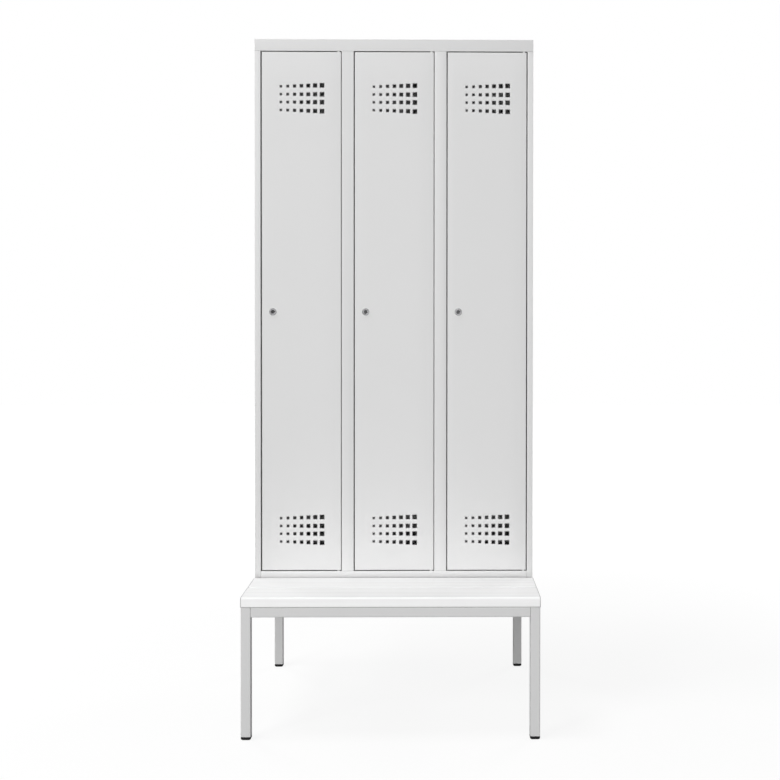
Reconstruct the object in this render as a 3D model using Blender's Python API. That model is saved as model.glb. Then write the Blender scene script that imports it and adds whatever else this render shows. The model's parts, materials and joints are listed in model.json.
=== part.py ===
"""Steel clothes locker with three doors, standing on a welded bench frame with a two-slat seat.

Units are metres. X runs to the right, Y runs from the seat into the cabinet, Z is up.
The origin lies on the floor, under the middle of the whole object.
"""
import math

import bpy
import bmesh
from mathutils import Matrix, Vector

# Main sizes of the cabinet and of the bench frame under it
CABINET_WIDTH = 0.900
CABINET_DEPTH = 0.500
CABINET_HEIGHT = 1.770
FRAME_HEIGHT = 0.400
SEAT_DEPTH = 0.290
DOOR_COUNT = 3

# Fits that many pieces share
SEATING_GAP = 0.0003
CUT_OVERRUN = 0.002
SHEET = 0.001

# Square tube of the bench frame
TUBE = 0.030
TUBE_WALL = 0.002
TUBE_CORNER = 0.003
TUBE_CORNER_STEPS = 3

# Plastic plugs under the legs
FOOT_HEIGHT = 0.010
FOOT_CHAMFER = 0.0035
FOOT_PLUG_LENGTH = 0.022

# Seat slats, extruded in plastic, with a cap on each end
SLAT_THICKNESS = 0.030
SLAT_GAP = 0.008
SEAT_REAR_GAP = 0.013
SLAT_OVERHANG = 0.001
SLAT_WALL = 0.0025
SLAT_TOP_ROUNDING = 0.006
SLAT_BOTTOM_ROUNDING = 0.003
SLAT_CHAMBERS = 3
SLAT_ROUNDING_STEPS = 4
END_CAP_PLATE = 0.002
END_CAP_PLUG_LENGTH = 0.012

# Front of the cabinet
HEADER_HEIGHT = 0.038
SILL_HEIGHT = 0.049
FACE_DEPTH = 0.022
INNER_STILE_WIDTH = 0.0195
OUTER_STILE_WIDTH = 0.0185
REAR_FLANGE = 0.015
LOCK_SIDE_GAP = 0.0035
HINGE_SIDE_GAP = 0.002
DOOR_END_GAP = 0.003
STRIKE_SHEET = 0.0015
STRIKE_REACH = 0.012
STRIKE_WELD_WIDTH = 0.012

# Base pan that carries the compartments' floor
FLOOR_DROP = 0.001
BASE_LIP = 0.026

# Door pan with its return lips
DOOR_DEPTH = 0.016
DOOR_LIP = 0.010
DOOR_EDGE_ROUNDING = 0.0012
DOOR_EDGE_STEPS = 2
STIFFENER_WIDTH = 0.060
STIFFENER_CROWN_WIDTH = 0.030
STIFFENER_DEPTH = 0.012
STIFFENER_MARGIN = 0.030

# Vent pattern: square holes that grow from column to column
VENT_COLUMNS = 7
VENT_ROWS = 4
VENT_PITCH = 0.0221
VENT_ROW_PITCH = 0.0253
VENT_SMALLEST = 0.0068
VENT_GROWTH = 0.00123
VENT_TOP_DROP = 0.1495
VENT_BOTTOM_RISE = 0.131

# Hidden pin hinges on the right of each door
PIN_RADIUS = 0.003
PIN_EDGE_DISTANCE = 0.0085
PIN_SETBACK = 0.005
PIN_FIT = 0.0003
PIN_DOOR_LENGTH = 0.018
PIN_FRAME_LENGTH = 0.012
PIN_COLLAR_RADIUS = 0.0048

# Cylinder lock with a turning cam
LOCK_HEIGHT = 0.890
LOCK_EDGE_DISTANCE = 0.035
LOCK_HEAD_RADIUS = 0.0115
LOCK_HEAD_HEIGHT = 0.0026
LOCK_HEAD_CHAMFER = 0.0012
LOCK_BODY_RADIUS = 0.0090
LOCK_BODY_LENGTH = 0.0212
LOCK_HOLE_FIT = 0.0003
LOCK_NUT_ACROSS = 0.023
LOCK_NUT_HEIGHT = 0.005
LOCK_BORE_RADIUS = 0.0066
PLUG_FIT = 0.0003
PLUG_RECESS = 0.0006
PLUG_BOSS_RADIUS = 0.0036
KEYWAY_WIDTH = 0.0022
KEYWAY_HEIGHT = 0.0084
KEYWAY_DEPTH = 0.012
CAM_THICKNESS = 0.0025
CAM_WIDTH = 0.014
CAM_REACH = 0.034
CAM_RUNNING_GAP = 0.001
CAM_SCREW_HEAD_RADIUS = 0.0055
CAM_SCREW_HEAD_HEIGHT = 0.0022
CAM_SCREW_RADIUS = 0.0018
CAM_SCREW_LENGTH = 0.008

# Inside of each compartment
HAT_SPACE = 0.300
SHELF_EDGE_HEIGHT = 0.020
SHELF_RETURN = 0.010
SHELF_SETBACK = 0.004
RAIL_RADIUS = 0.009
RAIL_WALL = 0.0012
RAIL_DROP = 0.055
RAIL_FLANGE_RADIUS = 0.018
RAIL_FLANGE_THICKNESS = 0.002

# Double coat hook that slides on the rail
HOOK_RING_WALL = 0.0032
HOOK_RING_LENGTH = 0.014
HOOK_FIT = 0.0005
HOOK_BAR_RADIUS = 0.0035
HOOK_STEM = 0.038
HOOK_BEND_RADIUS = 0.022
HOOK_TIP_RISE = 0.006
HOOK_TIP_RADIUS = 0.0048

# Facets of round pieces
ROUND_STEPS = 24
SMALL_ROUND_STEPS = 16
HEX_SIDES = 6
SMOOTH_LIMIT = math.radians(35.0)

# Places that follow from the sizes above
TOTAL_DEPTH = SLAT_OVERHANG + SEAT_DEPTH + CABINET_DEPTH
BENCH_FRONT = SLAT_OVERHANG - TOTAL_DEPTH / 2
BENCH_BACK = TOTAL_DEPTH / 2
FACE = BENCH_FRONT + SEAT_DEPTH
BACK = FACE + CABINET_DEPTH
HALF_WIDTH = CABINET_WIDTH / 2
MODULE = CABINET_WIDTH / DOOR_COUNT
CABINET_BOTTOM = FRAME_HEIGHT + SEATING_GAP
CABINET_TOP = FRAME_HEIGHT + CABINET_HEIGHT
ROOF_UNDERSIDE = CABINET_TOP - SHEET
HEADER_BOTTOM = CABINET_TOP - HEADER_HEIGHT
SILL_TOP = FRAME_HEIGHT + SILL_HEIGHT
FLOOR_TOP = SILL_TOP - FLOOR_DROP
FACE_REAR = FACE + FACE_DEPTH
STRIKE_REAR = FACE_REAR + STRIKE_SHEET
BACK_PANEL_REAR = BACK - SHEET - SEATING_GAP
BACK_PANEL_FRONT = BACK_PANEL_REAR - SHEET
DOOR_WIDTH = MODULE - 2 * INNER_STILE_WIDTH - LOCK_SIDE_GAP - HINGE_SIDE_GAP
DOOR_BOTTOM = SILL_TOP + DOOR_END_GAP
DOOR_TOP = HEADER_BOTTOM - DOOR_END_GAP
DOOR_REAR = FACE + DOOR_DEPTH
PIN_Y = FACE + PIN_SETBACK
LOCK_Z = FRAME_HEIGHT + LOCK_HEIGHT
CAM_FRONT = STRIKE_REAR + CAM_RUNNING_GAP
CAM_REAR = CAM_FRONT + CAM_THICKNESS
SHELF_TOP = ROOF_UNDERSIDE - HAT_SPACE
RAIL_Z = SHELF_TOP - RAIL_DROP
RAIL_Y = (STRIKE_REAR + BACK_PANEL_FRONT) / 2
SLAT_WIDTH = (SEAT_DEPTH + SLAT_OVERHANG - SLAT_GAP - SEAT_REAR_GAP) / 2
SLAT_BOTTOM = FRAME_HEIGHT + SEATING_GAP
SLAT_TOP = SLAT_BOTTOM + SLAT_THICKNESS
FRONT_SLAT_Y = BENCH_FRONT - SLAT_OVERHANG
REAR_SLAT_Y = FRONT_SLAT_Y + SLAT_WIDTH + SLAT_GAP
SLAT_END = HALF_WIDTH + SLAT_OVERHANG - END_CAP_PLATE


def make_material(name, colour, roughness, metallic):
    """One Principled surface: painted steel, bare steel or plastic."""
    material = bpy.data.materials.new(name)
    material.use_nodes = True
    surface = material.node_tree.nodes["Principled BSDF"]
    surface.inputs["Base Color"].default_value = (*colour, 1.0)
    surface.inputs["Roughness"].default_value = roughness
    surface.inputs["Metallic"].default_value = metallic
    material.diffuse_color = (*colour, 1.0)
    return material


def add_object(name, mesh_data, material, smooth=False, location=(0, 0, 0)):
    """Turn a bmesh into a named object with outward faces."""
    bmesh.ops.recalc_face_normals(mesh_data, faces=mesh_data.faces[:])
    mesh = bpy.data.meshes.new(name)
    shift = Matrix.Translation(-Vector(location))
    bmesh.ops.transform(mesh_data, matrix=shift, verts=mesh_data.verts[:])
    mesh_data.to_mesh(mesh)
    mesh_data.free()
    if smooth:
        mesh.shade_smooth()
        mesh.set_sharp_from_angle(angle=SMOOTH_LIMIT)
    piece = bpy.data.objects.new(name, mesh)
    piece.location = location
    bpy.context.scene.collection.objects.link(piece)
    if material is not None:
        mesh.materials.append(material)
    return piece


def cut(piece, cutter_mesh, label):
    """Take a closed cutter out of a piece; the cutter stays as a hidden guide."""
    cutter = add_object(piece.name + "_" + label, cutter_mesh, None)
    cutter.hide_render = True
    cutter.display_type = "WIRE"
    modifier = piece.modifiers.new(label, "BOOLEAN")
    modifier.operation = "DIFFERENCE"
    modifier.solver = "EXACT"
    modifier.object = cutter


def join(piece, extra_mesh, label):
    """Fuse a second closed shape with a piece, as a weld or a moulding does."""
    extra = add_object(piece.name + "_" + label, extra_mesh, None)
    extra.hide_render = True
    extra.display_type = "WIRE"
    modifier = piece.modifiers.new(label, "BOOLEAN")
    modifier.operation = "UNION"
    modifier.solver = "EXACT"
    modifier.object = extra


def add_box(mesh_data, low, high):
    """A block between two opposite corners."""
    corners = bmesh.ops.create_cube(mesh_data, size=1)["verts"]
    size = Vector(high) - Vector(low)
    middle = (Vector(high) + Vector(low)) / 2
    for corner in corners:
        corner.co = Vector(a * b for a, b in zip(corner.co, size)) + middle
    return corners


def box_mesh(low, high):
    mesh_data = bmesh.new()
    add_box(mesh_data, low, high)
    return mesh_data


def place(axis, u, v, along):
    """Point of an outline in the plane square to an axis: (y, z), (x, z) or (x, y)."""
    if axis == "X":
        return (along, u, v)
    if axis == "Y":
        return (u, along, v)
    return (u, v, along)


def add_prism(mesh_data, outline, axis, start, end):
    """Extrude a closed outline along an axis."""
    near = [mesh_data.verts.new(place(axis, u, v, start)) for u, v in outline]
    face = mesh_data.faces.new(near)
    swept = bmesh.ops.extrude_face_region(mesh_data, geom=[face])["geom"]
    moved = [item for item in swept if isinstance(item, bmesh.types.BMVert)]
    bmesh.ops.translate(mesh_data, vec=place(axis, 0, 0, end - start), verts=moved)
    if face.is_valid:
        return
    mesh_data.faces.new(near)


def prism_mesh(outline, axis, start, end):
    mesh_data = bmesh.new()
    add_prism(mesh_data, outline, axis, start, end)
    return mesh_data


def add_hollow_prism(mesh_data, outer, inner, axis, start, end):
    """Extrude the ring between two outlines with the same number of points."""
    count = len(outer)
    rings = []
    for outline, along in ((outer, start), (outer, end), (inner, end), (inner, start)):
        rings.append([mesh_data.verts.new(place(axis, u, v, along)) for u, v in outline])
    for ring, following in zip(rings, rings[1:] + rings[:1]):
        for index in range(count):
            after = (index + 1) % count
            mesh_data.faces.new((ring[index], ring[after], following[after], following[index]))


def rounded_outline(u_low, u_high, v_low, v_high, radii, steps):
    """Rectangle whose corners are arcs; radii run low-low, high-low, high-high, low-high."""
    corners = (
        (u_low, v_low, 1, 1),
        (u_high, v_low, -1, 1),
        (u_high, v_high, -1, -1),
        (u_low, v_high, 1, -1),
    )
    points = []
    for index, (u, v, u_sign, v_sign) in enumerate(corners):
        radius = radii[index]
        if radius == 0:
            points.append((u, v))
            continue
        first = math.pi + index * math.pi / 2
        for step in range(steps + 1):
            angle = first + step / steps * math.pi / 2
            centre_u = u + u_sign * radius
            centre_v = v + v_sign * radius
            points.append((centre_u + radius * math.cos(angle), centre_v + radius * math.sin(angle)))
    return points


def circle_outline(u, v, radius, steps, turn=0.0):
    angles = [turn + 2 * math.pi * step / steps for step in range(steps)]
    return [(u + radius * math.cos(angle), v + radius * math.sin(angle)) for angle in angles]


def add_turned(mesh_data, centre, axis, profile, steps):
    """Turn a profile of (radius, distance along the axis) about an axis; ends at radius 0 close."""
    u0, v0, along0 = centre
    rings = []
    for radius, along in profile:
        if radius == 0:
            rings.append([mesh_data.verts.new(place(axis, u0, v0, along0 + along))])
            continue
        ring = circle_outline(u0, v0, radius, steps)
        rings.append([mesh_data.verts.new(place(axis, u, v, along0 + along)) for u, v in ring])
    closed = profile[0][0] != 0 and profile[-1][0] != 0
    following_rings = rings[1:] + rings[:1] if closed else rings[1:]
    for ring, following in zip(rings, following_rings):
        for index in range(steps):
            after = (index + 1) % steps
            corners = [ring[index % len(ring)], ring[after % len(ring)]]
            corners += [following[after % len(following)], following[index % len(following)]]
            distinct = list(dict.fromkeys(corners))
            mesh_data.faces.new(distinct)


def square_tube(name, axis, u_low, v_low, start, end, material):
    """Length of the frame's square tube, open at both ends."""
    u_high = u_low + TUBE
    v_high = v_low + TUBE
    inner_corner = max(TUBE_CORNER - TUBE_WALL, SEATING_GAP)
    outer = rounded_outline(u_low, u_high, v_low, v_high, [TUBE_CORNER] * 4, TUBE_CORNER_STEPS)
    inner = rounded_outline(
        u_low + TUBE_WALL,
        u_high - TUBE_WALL,
        v_low + TUBE_WALL,
        v_high - TUBE_WALL,
        [inner_corner] * 4,
        TUBE_CORNER_STEPS,
    )
    mesh_data = bmesh.new()
    add_hollow_prism(mesh_data, outer, inner, axis, start, end)
    return add_object(name, mesh_data, material, smooth=True)


def door_left_edge(index):
    """Left edge of door number index, counted from 0."""
    return -HALF_WIDTH + index * MODULE + INNER_STILE_WIDTH + LOCK_SIDE_GAP


def compartment_walls(index):
    """Inner faces of the walls on the left and right of a compartment."""
    left = -HALF_WIDTH + index * MODULE + (SHEET if index == 0 else SHEET / 2)
    right = -HALF_WIDTH + (index + 1) * MODULE - (SHEET if index == DOOR_COUNT - 1 else SHEET / 2)
    return left, right


def build_legs(paint):
    spots = {
        "leg_front_left": (-HALF_WIDTH, BENCH_FRONT),
        "leg_front_right": (HALF_WIDTH - TUBE, BENCH_FRONT),
        "leg_rear_left": (-HALF_WIDTH, BENCH_BACK - TUBE),
        "leg_rear_right": (HALF_WIDTH - TUBE, BENCH_BACK - TUBE),
    }
    for name, (x, y) in spots.items():
        square_tube(name, "Z", x, y, FOOT_HEIGHT + SEATING_GAP, FRAME_HEIGHT, paint)


def foot_plug_mesh(x, y):
    """Square plug with a chamfered foot, and a shank that fits in the leg."""
    half = TUBE / 2
    plug_half = half - TUBE_WALL - SEATING_GAP
    top = FOOT_HEIGHT + FOOT_PLUG_LENGTH
    levels = (
        (half - FOOT_CHAMFER, 0),
        (half, FOOT_CHAMFER),
        (half, FOOT_HEIGHT),
        (plug_half, FOOT_HEIGHT),
        (plug_half, top - TUBE_CORNER),
        (plug_half - TUBE_CORNER, top),
    )
    mesh_data = bmesh.new()
    rings = []
    for reach, z in levels:
        corner = min(TUBE_CORNER, reach / 2)
        ring = rounded_outline(x - reach, x + reach, y - reach, y + reach, [corner] * 4, TUBE_CORNER_STEPS)
        rings.append([mesh_data.verts.new((u, v, z)) for u, v in ring])
    for ring, following in zip(rings, rings[1:]):
        for index in range(len(ring)):
            after = (index + 1) % len(ring)
            mesh_data.faces.new((ring[index], ring[after], following[after], following[index]))
    mesh_data.faces.new(rings[0])
    mesh_data.faces.new(rings[-1])
    return mesh_data


def build_foot_plugs(plastic):
    """Black plastic plug pushed into the lower end of each leg."""
    half = TUBE / 2
    for row, y in (("front", BENCH_FRONT + half), ("rear", BENCH_BACK - half)):
        for side, x in (("left", half - HALF_WIDTH), ("right", HALF_WIDTH - half)):
            add_object("foot_plug_" + row + "_" + side, foot_plug_mesh(x, y), plastic)


def build_rails(paint):
    """Horizontal tubes of the welded frame, butted between the legs."""
    low = FRAME_HEIGHT - TUBE
    start = -HALF_WIDTH + TUBE + SEATING_GAP
    end = HALF_WIDTH - TUBE - SEATING_GAP
    square_tube("bench_front_rail", "X", BENCH_FRONT, low, start, end, paint)
    square_tube("bench_rear_rail", "X", BENCH_BACK - TUBE, low, start, end, paint)
    square_tube("bench_cross_rail", "X", FACE, low, start, end, paint)
    y_start = BENCH_FRONT + TUBE + SEATING_GAP
    y_end = BENCH_BACK - TUBE - SEATING_GAP
    square_tube("bench_side_rail_left", "Y", -HALF_WIDTH, low, y_start, y_end, paint)
    square_tube("bench_side_rail_right", "Y", HALF_WIDTH - TUBE, low, y_start, y_end, paint)


def chamber_spans(y_low):
    """Y ranges of the hollow chambers inside a slat."""
    pitch = (SLAT_WIDTH - SLAT_WALL) / SLAT_CHAMBERS
    starts = [y_low + SLAT_WALL + index * pitch for index in range(SLAT_CHAMBERS)]
    return [(start, start + pitch - SLAT_WALL) for start in starts]


def slat_outline(y_low):
    radii = [SLAT_BOTTOM_ROUNDING, SLAT_BOTTOM_ROUNDING, SLAT_TOP_ROUNDING, SLAT_TOP_ROUNDING]
    return rounded_outline(y_low, y_low + SLAT_WIDTH, SLAT_BOTTOM, SLAT_TOP, radii, SLAT_ROUNDING_STEPS)


def chamber_outline(y_low, y_high, index, inset):
    """Outline of one chamber; the outer chambers follow the slat's rounded edges."""
    corner = max(SLAT_TOP_ROUNDING - SLAT_WALL, SEATING_GAP)
    radii = [0, 0, 0, 0]
    if index == 0:
        radii[3] = corner
    if index == SLAT_CHAMBERS - 1:
        radii[2] = corner
    low = SLAT_BOTTOM + SLAT_WALL + inset
    high = SLAT_TOP - SLAT_WALL - inset
    return rounded_outline(y_low + inset, y_high - inset, low, high, radii, SLAT_ROUNDING_STEPS)


def build_slats(plastic, cap_plastic):
    """Two hollow plastic slats; each end is closed by a push-in cap."""
    for row, y_low in (("front", FRONT_SLAT_Y), ("rear", REAR_SLAT_Y)):
        body = prism_mesh(slat_outline(y_low), "X", SEATING_GAP - SLAT_END, SLAT_END - SEATING_GAP)
        slat = add_object("seat_slat_" + row, body, plastic, smooth=True)
        chambers = bmesh.new()
        for index, (start, end) in enumerate(chamber_spans(y_low)):
            ring = chamber_outline(start, end, index, 0)
            add_prism(chambers, ring, "X", -HALF_WIDTH - CUT_OVERRUN, HALF_WIDTH + CUT_OVERRUN)
        cut(slat, chambers, "chambers")
        for side, direction in (("left", -1), ("right", 1)):
            plate = sorted((direction * SLAT_END, direction * (SLAT_END + END_CAP_PLATE)))
            cap_mesh = prism_mesh(slat_outline(y_low), "X", *plate)
            cap = add_object("slat_end_cap_" + row + "_" + side, cap_mesh, cap_plastic, smooth=True)
            plugs = bmesh.new()
            inner_end = direction * (SLAT_END - END_CAP_PLUG_LENGTH)
            reach = sorted((inner_end, direction * (SLAT_END + END_CAP_PLATE / 2)))
            for index, (start, end) in enumerate(chamber_spans(y_low)):
                add_prism(plugs, chamber_outline(start, end, index, SEATING_GAP), "X", *reach)
            join(cap, plugs, "plugs")


def side_outline(side):
    """Plan section of a side wall: stile fold in front, wall, return flange at the back."""
    outer = side * HALF_WIDTH
    inner = side * (HALF_WIDTH - SHEET)
    stile = side * (HALF_WIDTH - OUTER_STILE_WIDTH)
    stile_inner = side * (HALF_WIDTH - OUTER_STILE_WIDTH + SHEET)
    lip_end = side * (HALF_WIDTH - SHEET - SEATING_GAP)
    flange = side * (HALF_WIDTH - REAR_FLANGE)
    return [
        (outer, FACE),
        (stile, FACE),
        (stile, FACE_REAR),
        (lip_end, FACE_REAR),
        (lip_end, FACE_REAR - SHEET),
        (stile_inner, FACE_REAR - SHEET),
        (stile_inner, FACE + SHEET),
        (inner, FACE + SHEET),
        (inner, BACK - SHEET),
        (flange, BACK - SHEET),
        (flange, BACK),
        (outer, BACK),
    ]


def strike_mesh(opening_edge):
    """Flat strip behind a stile on a door's lock side: the cam hooks behind its free edge."""
    low = (opening_edge - STRIKE_WELD_WIDTH, FACE_REAR - SHEET / 2, SILL_TOP + SEATING_GAP)
    high = (opening_edge + STRIKE_REACH, STRIKE_REAR, HEADER_BOTTOM - SEATING_GAP)
    return box_mesh(low, high)


def build_side_panels(paint):
    """One folded sheet for each side, notched at the top for the header."""
    for name, side in (("side_panel_left", -1), ("side_panel_right", 1)):
        top = ROOF_UNDERSIDE - SEATING_GAP
        panel = add_object(name, prism_mesh(side_outline(side), "Z", CABINET_BOTTOM, top), paint)
        stile_edge = HALF_WIDTH - OUTER_STILE_WIDTH
        reach = sorted((side * (stile_edge - CUT_OVERRUN), side * (HALF_WIDTH + CUT_OVERRUN)))
        notch = box_mesh(
            (reach[0], FACE - CUT_OVERRUN, HEADER_BOTTOM - SEATING_GAP),
            (reach[1], FACE_REAR + SEATING_GAP, top + CUT_OVERRUN),
        )
        cut(panel, notch, "header_notch")
        if side < 0:
            join(panel, strike_mesh(door_left_edge(0) - LOCK_SIDE_GAP), "strike_strip")


def build_back_panel(paint):
    reach = HALF_WIDTH - SHEET - SEATING_GAP
    low = (-reach, BACK_PANEL_FRONT, CABINET_BOTTOM)
    high = (reach, BACK_PANEL_REAR, ROOF_UNDERSIDE - SEATING_GAP)
    add_object("back_panel", box_mesh(low, high), paint)


def build_roof_panel(paint):
    low = (-HALF_WIDTH, FACE, ROOF_UNDERSIDE)
    high = (HALF_WIDTH, BACK, CABINET_TOP)
    add_object("roof_panel", box_mesh(low, high), paint)


def open_tray(name, low, high, material):
    """Folded tray, closed in front and at its four edges and open at the back."""
    tray = add_object(name, box_mesh(low, high), material)
    hollow = box_mesh(
        (low[0] + SHEET, low[1] + SHEET, low[2] + SHEET),
        (high[0] - SHEET, high[1] + CUT_OVERRUN, high[2] - SHEET),
    )
    cut(tray, hollow, "hollow")
    return tray


def hinge_places():
    """Hinge axis of each door."""
    return [door_left_edge(index) + DOOR_WIDTH - PIN_EDGE_DISTANCE for index in range(DOOR_COUNT)]


def build_header_and_sill(paint):
    """Trays above and below the doors, with a hole for each hinge pin."""
    header = open_tray(
        "header_rail",
        (-HALF_WIDTH, FACE, HEADER_BOTTOM),
        (HALF_WIDTH, FACE_REAR, ROOF_UNDERSIDE - SEATING_GAP),
        paint,
    )
    reach = HALF_WIDTH - OUTER_STILE_WIDTH - SEATING_GAP
    sill = open_tray("sill_rail", (-reach, FACE, CABINET_BOTTOM), (reach, FACE_REAR, SILL_TOP), paint)
    for rail, z in ((header, HEADER_BOTTOM), (sill, SILL_TOP - SHEET)):
        holes = bmesh.new()
        for x in hinge_places():
            ring = circle_outline(x, PIN_Y, PIN_RADIUS + PIN_FIT, SMALL_ROUND_STEPS)
            add_prism(holes, ring, "Z", z - CUT_OVERRUN, z + SHEET + CUT_OVERRUN)
        cut(rail, holes, "pin_holes")


def build_base_pan(paint):
    """Floor of the compartments: a sheet folded down at the front and back, with lips on the frame."""
    front = FACE_REAR + SEATING_GAP
    back = BACK_PANEL_FRONT - SEATING_GAP
    outline = [
        (front, FLOOR_TOP),
        (front, CABINET_BOTTOM),
        (front + BASE_LIP, CABINET_BOTTOM),
        (front + BASE_LIP, CABINET_BOTTOM + SHEET),
        (front + SHEET, CABINET_BOTTOM + SHEET),
        (front + SHEET, FLOOR_TOP - SHEET),
        (back - SHEET, FLOOR_TOP - SHEET),
        (back - SHEET, CABINET_BOTTOM + SHEET),
        (back - BASE_LIP, CABINET_BOTTOM + SHEET),
        (back - BASE_LIP, CABINET_BOTTOM),
        (back, CABINET_BOTTOM),
        (back, FLOOR_TOP),
    ]
    reach = HALF_WIDTH - SHEET - SEATING_GAP
    add_object("base_pan", prism_mesh(outline, "X", -reach, reach), paint)


def build_mullions(paint):
    """Box sections between the doors, each with the strike strip of the door on its right."""
    for index in range(1, DOOR_COUNT):
        middle = -HALF_WIDTH + index * MODULE
        outer = rounded_outline(
            middle - INNER_STILE_WIDTH,
            middle + INNER_STILE_WIDTH,
            FACE,
            FACE_REAR,
            [DOOR_EDGE_ROUNDING] * 4,
            DOOR_EDGE_STEPS,
        )
        inner = rounded_outline(
            middle - INNER_STILE_WIDTH + SHEET,
            middle + INNER_STILE_WIDTH - SHEET,
            FACE + SHEET,
            FACE_REAR - SHEET,
            [SEATING_GAP] * 4,
            DOOR_EDGE_STEPS,
        )
        mesh_data = bmesh.new()
        add_hollow_prism(mesh_data, outer, inner, "Z", SILL_TOP + SEATING_GAP, HEADER_BOTTOM - SEATING_GAP)
        mullion = add_object("mullion_" + str(index), mesh_data, paint, smooth=True)
        join(mullion, strike_mesh(middle + INNER_STILE_WIDTH), "strike_strip")


def build_partitions(paint):
    """Sheet walls between the compartments, from the mullion to the back."""
    for index in range(1, DOOR_COUNT):
        middle = -HALF_WIDTH + index * MODULE
        low = (middle - SHEET / 2, FACE_REAR + SEATING_GAP, FLOOR_TOP + SEATING_GAP)
        high = (middle + SHEET / 2, BACK_PANEL_FRONT - SEATING_GAP, ROOF_UNDERSIDE - SEATING_GAP)
        add_object("partition_" + str(index), box_mesh(low, high), paint)


def build_shelves(paint):
    """Hat shelf of each compartment, folded down and back at its front and rear edges."""
    front = STRIKE_REAR + SHELF_SETBACK
    back = BACK_PANEL_FRONT - SEATING_GAP
    edge = SHELF_TOP - SHELF_EDGE_HEIGHT
    outline = [
        (front, SHELF_TOP),
        (front, edge),
        (front + SHELF_RETURN, edge),
        (front + SHELF_RETURN, edge + SHEET),
        (front + SHEET, edge + SHEET),
        (front + SHEET, SHELF_TOP - SHEET),
        (back - SHEET, SHELF_TOP - SHEET),
        (back - SHEET, edge),
        (back, edge),
        (back, SHELF_TOP),
    ]
    for index in range(DOOR_COUNT):
        left, right = compartment_walls(index)
        shelf = prism_mesh(outline, "X", left + SEATING_GAP, right - SEATING_GAP)
        add_object("hat_shelf_" + str(index + 1), shelf, paint)


def build_clothes_rails(steel):
    """Tube under each shelf, with a round flange on each end that is fixed to the wall."""
    for index in range(DOOR_COUNT):
        left, right = compartment_walls(index)
        start = left + SEATING_GAP
        end = right - SEATING_GAP
        tube = bmesh.new()
        outer = circle_outline(RAIL_Y, RAIL_Z, RAIL_RADIUS, ROUND_STEPS)
        inner = circle_outline(RAIL_Y, RAIL_Z, RAIL_RADIUS - RAIL_WALL, ROUND_STEPS)
        lap = RAIL_FLANGE_THICKNESS / 2
        add_hollow_prism(tube, outer, inner, "X", start + lap, end - lap)
        rail = add_object("clothes_rail_" + str(index + 1), tube, steel, smooth=True)
        flanges = bmesh.new()
        disc = circle_outline(RAIL_Y, RAIL_Z, RAIL_FLANGE_RADIUS, ROUND_STEPS)
        bore = circle_outline(RAIL_Y, RAIL_Z, RAIL_RADIUS - 2 * RAIL_WALL, ROUND_STEPS)
        add_hollow_prism(flanges, disc, bore, "X", start, start + RAIL_FLANGE_THICKNESS)
        add_hollow_prism(flanges, disc, bore, "X", end - RAIL_FLANGE_THICKNESS, end)
        join(rail, flanges, "flanges")


def anchor_points():
    """Middle line of the two prongs: up, round under the stem and up again."""
    bottom = RAIL_Z - RAIL_RADIUS - HOOK_STEM
    centre_z = bottom + HOOK_BEND_RADIUS
    tip_z = centre_z + HOOK_TIP_RISE
    points = [(RAIL_Y - HOOK_BEND_RADIUS, tip_z)]
    for step in range(SMALL_ROUND_STEPS + 1):
        angle = math.pi * (1 + step / SMALL_ROUND_STEPS)
        y = RAIL_Y + HOOK_BEND_RADIUS * math.cos(angle)
        points.append((y, centre_z + HOOK_BEND_RADIUS * math.sin(angle)))
    points.append((RAIL_Y + HOOK_BEND_RADIUS, tip_z))
    return points


def add_round_bar(mesh_data, x, points, radius, steps):
    """Round bar along points in the YZ plane, with flat ends."""
    rings = []
    for index, point in enumerate(points):
        before = Vector(points[max(index - 1, 0)])
        after = Vector(points[min(index + 1, len(points) - 1)])
        ahead = (after - before).normalized()
        across = Vector((-ahead.y, ahead.x))
        ring = []
        for step in range(steps):
            angle = 2 * math.pi * step / steps
            y, z = Vector(point) + across * (radius * math.cos(angle))
            ring.append(mesh_data.verts.new((x + radius * math.sin(angle), y, z)))
        rings.append(ring)
    for ring, following in zip(rings, rings[1:]):
        for index in range(steps):
            after = (index + 1) % steps
            mesh_data.faces.new((ring[index], ring[after], following[after], following[index]))
    mesh_data.faces.new(rings[0])
    mesh_data.faces.new(rings[-1])


def build_coat_hooks(plastic):
    """Moulded double hook that hangs on the rail by a ring and slides along it."""
    inner_radius = RAIL_RADIUS + HOOK_FIT
    outer_radius = inner_radius + HOOK_RING_WALL
    points = anchor_points()
    for index in range(DOOR_COUNT):
        left, right = compartment_walls(index)
        x = (left + right) / 2
        ring = bmesh.new()
        outer = circle_outline(RAIL_Y, RAIL_Z, outer_radius, ROUND_STEPS)
        inner = circle_outline(RAIL_Y, RAIL_Z, inner_radius, ROUND_STEPS)
        half = HOOK_RING_LENGTH / 2
        add_hollow_prism(ring, outer, inner, "X", x - half, x + half)
        place_on_rail = (x, RAIL_Y, RAIL_Z)
        hook = add_object("coat_hook_" + str(index + 1), ring, plastic, smooth=True, location=place_on_rail)
        stem_top = RAIL_Z - inner_radius - HOOK_RING_WALL / 2
        stem_bottom = RAIL_Z - RAIL_RADIUS - HOOK_STEM
        stem_outline = circle_outline(x, RAIL_Y, HOOK_BAR_RADIUS, SMALL_ROUND_STEPS)
        join(hook, prism_mesh(stem_outline, "Z", stem_bottom, stem_top), "stem")
        prongs = bmesh.new()
        add_round_bar(prongs, x, points, HOOK_BAR_RADIUS, SMALL_ROUND_STEPS // 2)
        join(hook, prongs, "prongs")
        tips = bmesh.new()
        for tip_y, tip_z in (points[0], points[-1]):
            steps = SMALL_ROUND_STEPS // 2
            ball = bmesh.ops.create_uvsphere(tips, u_segments=steps, v_segments=steps, radius=HOOK_TIP_RADIUS)
            bmesh.ops.translate(tips, vec=(x, tip_y, tip_z), verts=ball["verts"])
        join(hook, tips, "tips")


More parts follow.
